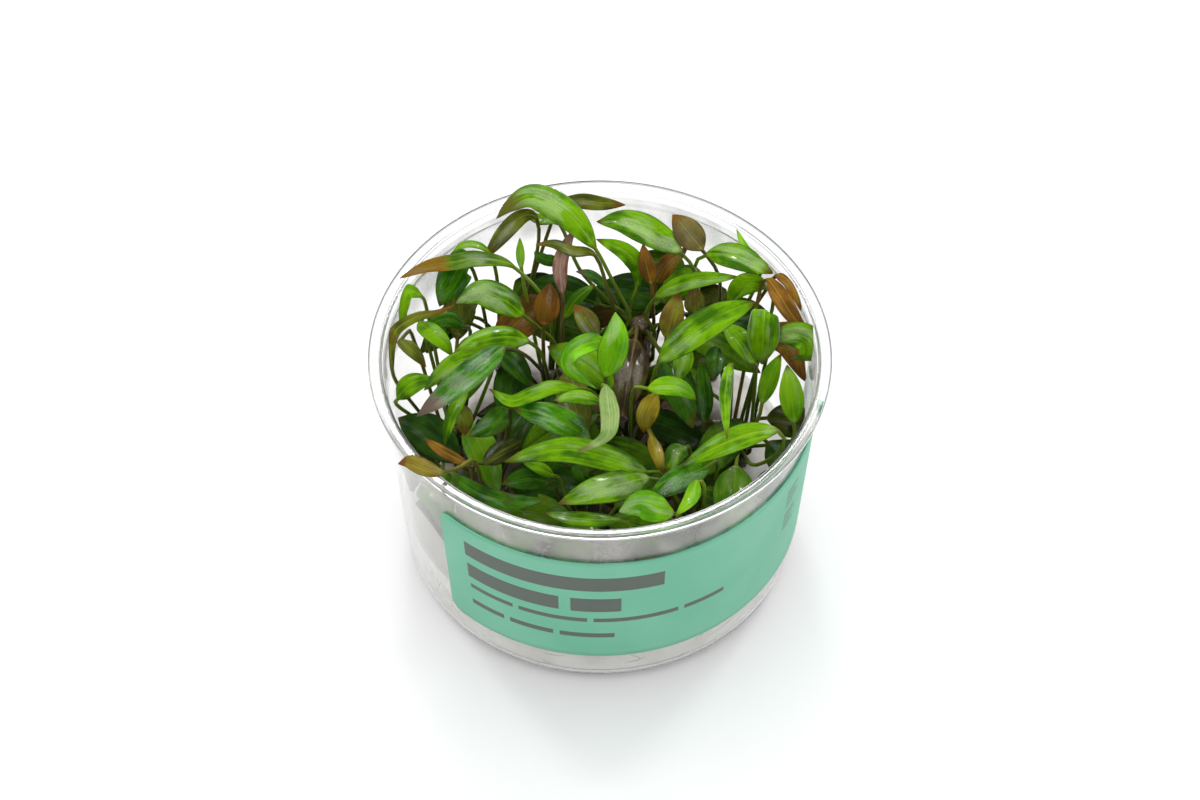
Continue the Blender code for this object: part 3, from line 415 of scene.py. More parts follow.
@dataclass(frozen=True)
class BarkFinish(Finish):
    """The fibrous brown skin of a crown."""

    name: str = "crown bark"
    dark: Colour = (0.028, 0.015, 0.007)
    light: Colour = (0.15, 0.090, 0.036)
    pale: Colour = (0.40, 0.32, 0.20)

    def sockets(self, bench: Bench) -> Sockets:
        """Upright fibres, dark rings and pale torn specks."""
        x, y, z = bench.split(bench.place())
        fibre = bench.noise(bench.join(x * 1500.0, y * 1500.0, z * 260.0), 1.0, 4.0, 0.65)
        ring = bench.noise(bench.join(x * 120.0, y * 120.0, z * 900.0), 1.0, 3.0, 0.6)
        speck = bench.noise(bench.place(), 1900.0, 2.0, 0.6)
        colour = bench.mix(self.dark, self.light, fibre.ease(0.34, 0.66))
        colour = bench.mix(colour, self.dark, ring.ease(0.50, 0.70) * 0.7)
        colour = bench.mix(colour, self.pale, speck.ease(0.62, 0.74) * 0.55)
        return {"Base Color": colour, "Roughness": fibre * 0.3 + 0.30, "Coat Weight": 0.3,
                "Coat Roughness": 0.12, "Normal": bench.bump(fibre * 0.7 + ring * 0.3, 0.0004)}


@dataclass(frozen=True)
class ClearFinish(Finish):
    """Clear moulded plastic that lets lamp light through to what it holds."""

    name: str = "clear plastic"
    tint: Colour = (0.985, 0.99, 0.985)
    smoke: Colour = (0.36, 0.38, 0.38)
    density: float = 36.0
    ior: float = 1.49
    roughness: float = 0.02
    shade: Colour = (0.93, 0.935, 0.93)
    # edge and line are painted shade: grey at the rim's outer edge and thin grey lines at the beads and the ledge,
    # where the clear plastic's edges show.
    edge: Colour = (0.26, 0.27, 0.27)
    line: Colour = (0.78, 0.79, 0.80)
    # The grey-beige of the painted reflections in the band below the rim.
    painted_reflection: Colour = (0.70, 0.67, 0.65)
    painted_reflection_share: float = 0.34
    rim: Range = (0.04950, 0.04972)
    rim_places: Range = (-0.030, 0.005)
    rim_front_share: float = 0.25
    bead_heights: Range = (0.0593, 0.0571)
    bead_width: Range = (0.00005, 0.00025)
    ledge_reach: float = 0.0477
    ledge_width: Range = (0.00008, 0.00025)
    painted_reflection_bottom: Range = (0.0465, 0.0520)
    painted_reflection_top: Range = (0.0590, 0.0600)
    painted_reflection_reach: Range = (0.0474, 0.0477)

    def material(self) -> bpy.types.Material:
        """Builds the material: plastic with painted grey shade at its rim edge, darker at the back, painted grey
        lines at its beads and ledge, a painted band of reflections inside below the rim, and thin shadows.
        """
        bench = Bench(bpy.data.materials.new(self.name))
        x, y, z = bench.split(bench.place())
        reach = (x * x + y * y) ** 0.5
        scuff = bench.noise(bench.place(), 900.0, 4.0, 0.7)
        run = bench.noise(bench.join(x * 120.0, y * 120.0, z * 60.0 + x * 40.0), 1.0, 2.0, 0.5)
        # Painted shade: the rim's outer edge is tinted grey, fully at the back and a quarter as much at the front,
        # with grey lines at the beads and the ledge.
        back = y.ease(*self.rim_places) * (1 - self.rim_front_share) + self.rim_front_share
        tint = bench.mix(self.tint, self.edge, reach.ease(*self.rim) * back)
        upper, lower = (abs(z - height).ease(*self.bead_width) for height in self.bead_heights)
        beads = 1.0 - upper * lower
        ledge = 1.0 - abs(reach - self.ledge_reach).ease(*self.ledge_width)
        tint = bench.mix(tint, self.line, beads.larger(ledge))
        sockets = {"Base Color": tint, "Roughness": scuff.ease(0.58, 0.90) * 0.05 + self.roughness,
                   "IOR": self.ior, "Transmission Weight": 1.0}
        # Painted reflection: a streaked grey-beige film on the inner wall below the rim, standing in for the
        # reflections that band shows.
        wall = z.ease(*self.painted_reflection_bottom) * (1.0 - z.ease(*self.painted_reflection_top)) * (1.0 - reach.ease(*self.painted_reflection_reach))
        film = bench.skin({"Base Color": self.painted_reflection, "Roughness": 0.4})
        plastic = bench.node("ShaderNodeMixShader", sockets={
            0: wall * (run.ease(0.30, 0.68) * 0.65 + 0.35) * self.painted_reflection_share, 1: bench.skin(sockets), 2: film})
        shadow = bench.node("ShaderNodeLightPath", out="Is Shadow Ray")
        through = bench.node("ShaderNodeBsdfTransparent", sockets={"Color": self.shade})
        surface = bench.node("ShaderNodeMixShader", sockets={0: shadow, 1: plastic, 2: through})
        depth = bench.node("ShaderNodeVolumeAbsorption", sockets={"Color": self.smoke, "Density": self.density})
        return bench.finish(surface, depth)


@dataclass(frozen=True)
class GelFinish(Finish):
    """Cloudy rooting gel."""

    name: str = "rooting gel"
    thin: Colour = (0.82, 0.78, 0.74)
    thick: Colour = (0.93, 0.91, 0.88)
    litter_and_shade: Colour = (0.026, 0.012, 0.005)
    rust: Colour = (0.13, 0.050, 0.018)
    litter_and_shade_heights: Range = (0.0165, 0.0174)
    litter_and_shade_reach: Range = (0.034, 0.047)

    def sockets(self, bench: Bench) -> Sockets:
        """Milky clouds with a wet surface, and dark brown in the top round the crowns: partly dead leaves, partly
        painted shade between the stems.
        """
        x, y, z = bench.split(bench.place())
        cloud = bench.noise(bench.place(), 95.0, 4.0, 0.6)
        swirl = bench.noise(bench.place(), 420.0, 3.0, 0.55)
        scrap = bench.noise(bench.join(x * 230.0, y * 230.0, cloud * 3.0), 1.0, 4.0, 0.7)
        reach = (x * x + y * y) ** 0.5
        # Partly real litter and partly painted shade: the gel's top round the crowns is darkened brown.
        bed = z.ease(*self.litter_and_shade_heights) * (1.0 - (reach + cloud * 0.014).ease(*self.litter_and_shade_reach))
        litter_and_shade = bed * scrap.ease(0.29, 0.42)
        colour = bench.mix(self.thin, self.thick, cloud.ease(0.35, 0.65))
        colour = bench.mix(colour, bench.mix(self.litter_and_shade, self.rust, swirl.ease(0.45, 0.65)), litter_and_shade * 0.96)
        return {"Base Color": colour, "Roughness": swirl * 0.25 + litter_and_shade * 0.35 + 0.12, "IOR": 1.34,
                "Specular IOR Level": 0.2, "Normal": bench.bump(swirl, 0.0003)}


@dataclass(frozen=True)
class RootFinish(Finish):
    """Fine roots, pale where they are young."""

    name: str = "roots"
    young: Colour = (0.40, 0.35, 0.29)
    old: Colour = (0.17, 0.13, 0.09)

    def sockets(self, bench: Bench) -> Sockets:
        """Pale with brown stretches."""
        shade = bench.noise(bench.place(), 260.0, 3.0, 0.6)
        return {"Base Color": bench.mix(self.young, self.old, shade.ease(0.42, 0.68)), "Roughness": 0.45}


@dataclass(frozen=True)
class Bar:
    """A printed bar on the label: where it starts, how long it is, its middle height and its thickness."""

    start: float
    length: float
    height: float
    thick: float


@dataclass(frozen=True)
class LabelFinish(Finish):
    """Mint satin paper with plain dark bars in place of lettering."""

    name: str = "label paper"
    mint: Colour = (0.140, 0.485, 0.315)
    faded: Colour = (0.170, 0.520, 0.350)
    ink: Colour = (0.088, 0.105, 0.090)
    bars: tuple[Bar, ...] = ()
    blur: Range = (-0.08, 0.08)

    def sockets(self, bench: Bench) -> Sockets:
        """Paper fibre, and bars measured in millimetres along and up the label."""
        along, up, _ = bench.attribute(RUN)
        fibre = bench.noise(bench.join(along * 2.2, up * 2.2, 0.0), 1.0, 4.0, 0.65)
        cloud = bench.noise(bench.join(along * 0.05, up * 0.05, 3.0), 1.0, 2.0, 0.5)
        print_mask: Union[Wire, float] = 0.0
        for bar in self.bars:
            side = (abs(along - (bar.start + bar.length / 2)) - bar.length / 2).ease(*self.blur)
            level = (abs(up - bar.height) - bar.thick / 2).ease(*self.blur)
            inside = (1.0 - side) * (1.0 - level)
            print_mask = inside if isinstance(print_mask, float) else print_mask.larger(inside)
        paper = bench.mix(self.mint, self.faded, cloud.ease(0.35, 0.65))
        paper = bench.mix(paper, self.faded, fibre.ease(0.5, 0.8) * 0.35)
        colour = bench.mix(paper, self.ink, print_mask * (0.94 + fibre * 0.08))
        return {"Base Color": colour, "Roughness": fibre * 0.12 + 0.46,
                "Normal": bench.bump(fibre + print_mask * 0.4, 0.00004)}


@dataclass(frozen=True)
class FloorFinish(Finish):
    """A plain pale table."""

    name: str = "pale table"
    pale: Colour = (0.94, 0.94, 0.94)
    paler: Colour = (0.95, 0.95, 0.955)

    def sockets(self, bench: Bench) -> Sockets:
        """Pale, with a trace of unevenness."""
        cloud = bench.noise(bench.place(), 6.0, 3.0, 0.5)
        return {"Base Color": bench.mix(self.pale, self.paler, cloud), "Roughness": 0.6}


# Meshes


@dataclass
class Shell:
    """A closed surface with its pattern coordinates and its place in the piece's list of finishes."""

    verts: np.ndarray
    quads: np.ndarray
    tris: np.ndarray
    place: Optional[np.ndarray] = None
    run: Optional[np.ndarray] = None
    look: int = 0

    def volume(self) -> float:
        """The signed volume: the sum over faces of each corner triple's product, a sixth of it."""
        fans = np.vstack((self.quads[:, (0, 1, 2)], self.quads[:, (0, 2, 3)], self.tris))
        a, b, c = (self.verts[fans[:, i]] for i in range(3))
        return float(np.einsum("ij,ij->i", a, np.cross(b, c)).sum() / 6)

    def outward(self) -> "Shell":
        """The same shell with its faces turned so that they point outwards."""
        if self.volume() < 0:
            self.quads, self.tris = self.quads[:, ::-1], self.tris[:, ::-1]
        return self


def band_faces(rows: int, columns: int) -> np.ndarray:
    """Quads, as four corners each, between neighbouring rows of a grid whose last column joins its first."""
    row = np.arange(rows - 1)[:, None] * columns
    column = np.arange(columns)[None, :]
    after = (column + 1) % columns
    return np.stack((row + column, row + after, row + columns + after, row + columns + column), -1).reshape(-1, 4)


def fan_faces(pole: int, first: int, columns: int, reverse: bool) -> np.ndarray:
    """Triangles from a pole to a closed row of points that starts at the given number."""
    column = np.arange(columns)
    fan = np.stack((np.full(columns, pole), first + column, first + (column + 1) % columns), -1)
    return fan[:, ::-1] if reverse else fan


def round_axis(radius: np.ndarray, angle: np.ndarray, height: np.ndarray) -> np.ndarray:
    """Points round the Z axis, from radii, angles and heights that broadcast together."""
    return np.stack(np.broadcast_arrays(radius * np.cos(angle), radius * np.sin(angle), height), -1)


def turned(profile: np.ndarray, sides: int) -> Shell:
    """Turns an outline round the Z axis: each point's radius times the cosine and sine of equal angles.

    Args:
        profile: radius and height of each point, with both ends on the axis.
        sides: how many points a turn has.

    Returns:
        The closed shell.
    """
    angle = np.arange(sides) * 2 * math.pi / sides
    radius, height = profile[1:-1, 0], profile[1:-1, 1]
    grid = round_axis(radius[:, None], angle, height[:, None]).reshape(-1, 3)
    ends = np.array(((0, 0, profile[0, 1]), (0, 0, profile[-1, 1])))
    verts = np.vstack((grid, ends))
    rows = len(radius)
    tris = np.vstack((fan_faces(rows * sides, 0, sides, True),
                      fan_faces(rows * sides + 1, (rows - 1) * sides, sides, False)))
    return Shell(verts, band_faces(rows, sides), tris).outward()


def tube(rings: np.ndarray, start: np.ndarray, tip: np.ndarray) -> Shell:
    """Closes a stack of rings with a point at each end.

    Args:
        rings: rings by points by three.
        start: the point that closes the first ring.
        tip: the point that closes the last ring.

    Returns:
        The closed shell, whose last two points are the ends.
    """
    rows, columns = rings.shape[:2]
    verts = np.vstack((rings.reshape(-1, 3), start, tip))
    last = rows * columns
    tris = np.vstack((fan_faces(last, 0, columns, True), fan_faces(last + 1, last - columns, columns, False)))
    return Shell(verts, band_faces(rows, columns), tris).outward()


def placed(name: str, data: bpy.types.ID) -> bpy.types.Object:
    """A new object of a mesh, a lamp or a camera, linked into the scene."""
    made = bpy.data.objects.new(name, data)
    bpy.context.scene.collection.objects.link(made)
    return made


def make_piece(name: str, shells: list[Shell], finishes: list[bpy.types.Material],
               node: Optional[str] = None) -> bpy.types.Object:
    """Joins shells into one smooth object at the origin.

    Args:
        name: the piece's name.
        shells: its closed surfaces, in millimetres.
        finishes: its materials, which each shell's look counts.
        node: the CAD node that it replaces, if any.

    Returns:
        The new object.
    """
    starts = np.cumsum([0] + [len(shell.verts) for shell in shells[:-1]])
    faces: list[list[int]] = []
    looks: list[int] = []
    for shell, start in zip(shells, starts):
        fresh = (shell.quads + start).tolist() + (shell.tris + start).tolist()
        faces += fresh
        looks += [shell.look] * len(fresh)
    mesh = bpy.data.meshes.new(name)
    mesh.from_pydata((np.vstack([shell.verts for shell in shells]) * MM).tolist(), [], faces)
    for label, parts in ((PLACE, [s.place for s in shells]), (RUN, [s.run for s in shells])):
        if any(part is not None for part in parts):
            filled = [np.zeros_like(s.verts) if p is None else p for s, p in zip(shells, parts)]
            layer = mesh.attributes.new(label, "FLOAT_VECTOR", "POINT")
            layer.data.foreach_set("vector", np.vstack(filled).astype(np.float32).ravel())
    for finish in finishes:
        mesh.materials.append(finish)
    mesh.polygons.foreach_set("material_index", looks)
    mesh.shade_smooth()
    made = placed(name, mesh)
    if node is not None:
        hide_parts(node)
    return made


# The vessel


@dataclass(frozen=True)
class Vessel:
    """The cup's sizes, which the gel, the label and the leaves also keep to."""

    rim_radius: float = 50.0
    rim_top: float = 61.5
    rim_thick: float = 1.2
    ledge_radius: float = 47.7
    ledge_drop: float = 0.8
    wall_top_radius: float = 46.9
    wall_foot_radius: float = 44.0
    wall: float = 0.8
    foot_round: float = 5.0
    foot_ring_in: float = 36.5
    foot_recess: float = 0.7
    gel_top: float = 18.0
    gel_rise: float = 0.9
    gap: float = 0.3

    def outer_radius(self, height: np.ndarray) -> np.ndarray:
        """The wall's outer radius: a straight taper from above the rounded foot to the flange."""
        share = (np.asarray(height, float) - self.foot_round) / (self.rim_top - self.rim_thick - self.foot_round)
        grow = self.wall_top_radius + self.wall - self.wall_foot_radius
        return self.wall_foot_radius + grow * np.clip(share, 0, 1)

    def inner_radius(self, height: np.ndarray) -> np.ndarray:
        """The wall's inner radius, one wall less than the outer."""
        return self.outer_radius(height) - self.wall

    def keep_inside(self, points: np.ndarray, clear: float) -> np.ndarray:
        """Pushes points in from the wall and up from the gel, except where they have passed over the rim.

        Args:
            points: points by three, in millimetres.
            clear: how far they stay from the wall.

        Returns:
            The moved points.
        """
        points = points.copy()
        radius = np.hypot(points[:, 0], points[:, 1])
        most = self.inner_radius(points[:, 2]) - clear
        held = (points[:, 2] < self.rim_top + clear) & (radius > most)
        points[held, :2] *= (most[held] / radius[held])[:, None]
        points[:, 2] = np.maximum(points[:, 2], self.gel_top + self.gel_rise + LEAF.clear_gel)
        return points


@dataclass(frozen=True)
class Board:
    """The slanted drafting board on which the courses are laid out, and the eye that it faces."""

    tilt: float = math.radians(50.5)
    reach: float = 787.0
    sink: float = 1.74

    def eye_line(self) -> np.ndarray:
        """The unit vector from the board to the eye."""
        return np.array((0, -math.cos(self.tilt), math.sin(self.tilt)))

    def drawn(self, course: tuple[Point, ...], towards: float) -> np.ndarray:
        """The points where rays from the eye through the board's marks meet their heights.

        Args:
            course: across, up and height of each mark.
            towards: how far all points move towards the eye.

        Returns:
            Points by three, in millimetres.
        """
        across, up, height = np.array(course, float).T
        top = np.array((0, 0, VESSEL.rim_top))
        eye = top + self.reach * self.eye_line()
        rise = up - self.sink
        mark = top + np.stack((across, rise * math.sin(self.tilt), rise * math.cos(self.tilt)), -1)
        share = (height - eye[2]) / (mark[:, 2] - eye[2])
        return eye + (mark - eye) * share[:, None] + towards * self.eye_line()


@dataclass(frozen=True)
class LeafRule:
    """The numbers that every leaf's solid follows."""

    stalk_half: float = 0.42
    stalk_taper: float = 0.6
    thick: float = 0.6
    fold: float = math.radians(14)
    rise: float = 0.75
    fall: float = 0.95
    spread: float = 0.9
    clear_wall: float = 0.75
    clear_wall_edge: float = 0.35
    clear_gel: float = 0.8
    clear_pieces: float = 0.35
    ring_step: float = 5.8
    rings_least: int = 6
    rings_most: int = 8
    rings_small: int = 4
    foot_clear: float = 0.15
    foot_drop: float = 2.0
    tip_within: float = 0.05
    turns: tuple[float, ...] = (0, 18, -18, 36, -36, 60, -60, 90, -90, 135, -135, 180)
    towards_eye: tuple[float, ...] = (0, 1, -1, 2, -2, 3, -3, 4.2, -4.2, 5.5, -5.5)
    tiers: tuple[float, ...] = (0.0, 1.6, 3.2)


@dataclass(frozen=True)
class CrownRule:
    """The numbers that every crown's solid follows, and how a young leaf leaves a side face."""

    sides: int = 8
    collar_rise: float = 1.2
    collar_flare: float = 1.15
    dome_drop: float = 0.8
    dome_shares: tuple[float, float] = (0.95, 0.55)
    dome_tip: float = 0.3
    sprout_bands: tuple[int, ...] = (1, 2)
    sprout_gap: float = 0.35
    sprout_lift: float = 0.3


@dataclass(frozen=True)
class YoungRule:
    """The rule that the low young leaves follow: they fill the cup evenly, lower in its middle and at the back."""

    count: int = 120
    field: float = 40.0
    low: float = 37.0
    high: float = 57.0
    middle_drop: float = 12.0
    back_drop: float = 0.35
    narrow: float = 5.6
    wide: float = 7.4
    lean: float = 30.0
    golden: float = math.radians(137.5)
    height_share: float = 0.618
    width_share: float = 0.414
    knee: tuple[float, float] = (0.4, 0.45)
    neck: tuple[float, float] = (0.3, 0.85)
    before: float = 8.0
    crest: float = 1.0
    beyond: float = 12.0
    droop: float = 3.5
    turns: tuple[float, ...] = (0.0, 0.3, -0.3, 0.6, -0.6, 0.9, -0.9)
    lifts: tuple[float, ...] = (0.0, -3.0, 3.0, -6.0)
    crowns_tried: int = 3
    tones: tuple[Tone, ...] = (Tone.GREEN, Tone.DARK, Tone.GREEN, Tone.OLIVE, Tone.GREEN, Tone.DARK, Tone.FRESH,
                               Tone.GREEN, Tone.DARK, Tone.BROWN, Tone.GREEN)


VESSEL = Vessel()
BOARD = Board()
LEAF = LeafRule()
CROWN = CrownRule()
YOUNG = YoungRule()


@dataclass(frozen=True)
class CrownPlan:
    """A plantlet's stem base: where it stands, how high it reaches and how thick it is."""

    name: str
    x: float
    y: float
    top: float
    radius: float

    def middle(self) -> np.ndarray:
        """The stem's middle, at height zero."""
        return np.array((self.x, self.y, 0.0))

    def root(self, foot: np.ndarray, share: float, sink: float) -> np.ndarray:
        """The point in the stem where a stalk begins: a share of the way out to its foot, and lower."""
        return self.middle() + (foot - self.middle()) * (share, share, 1) - (0, 0, sink)


@dataclass(frozen=True)
class LeafPlan:
    """A leaf: the crown that it grows from, its width, its course, and how its blade faces."""

    name: str
    crown: str
    width: float
    course: tuple[Point, ...]
    neck: int = 1
    lean: float = 15.0
    tone: Tone = Tone.GREEN


CROWNS = (
    CrownPlan("stem_tall", 9, 25, 42, 2.6),
    CrownPlan("crown_back_left", -22, 31, 27, 2.0),
    CrownPlan("crown_back_right", 25, 29, 27, 2.0),
    CrownPlan("crown_left_middle", -10, 19, 31, 2.1),
    CrownPlan("crown_left", -33, 6, 27, 2.1),
    CrownPlan("crown_middle", 5, 2, 28, 2.2),
    CrownPlan("crown_right", 31, 4, 28, 2.2),
    CrownPlan("crown_front_left", -24, -19, 27, 2.1),
    CrownPlan("crown_front_right", 21, -17, 27, 2.1),
    CrownPlan("crown_front", -2, -29, 27, 2.0),
)

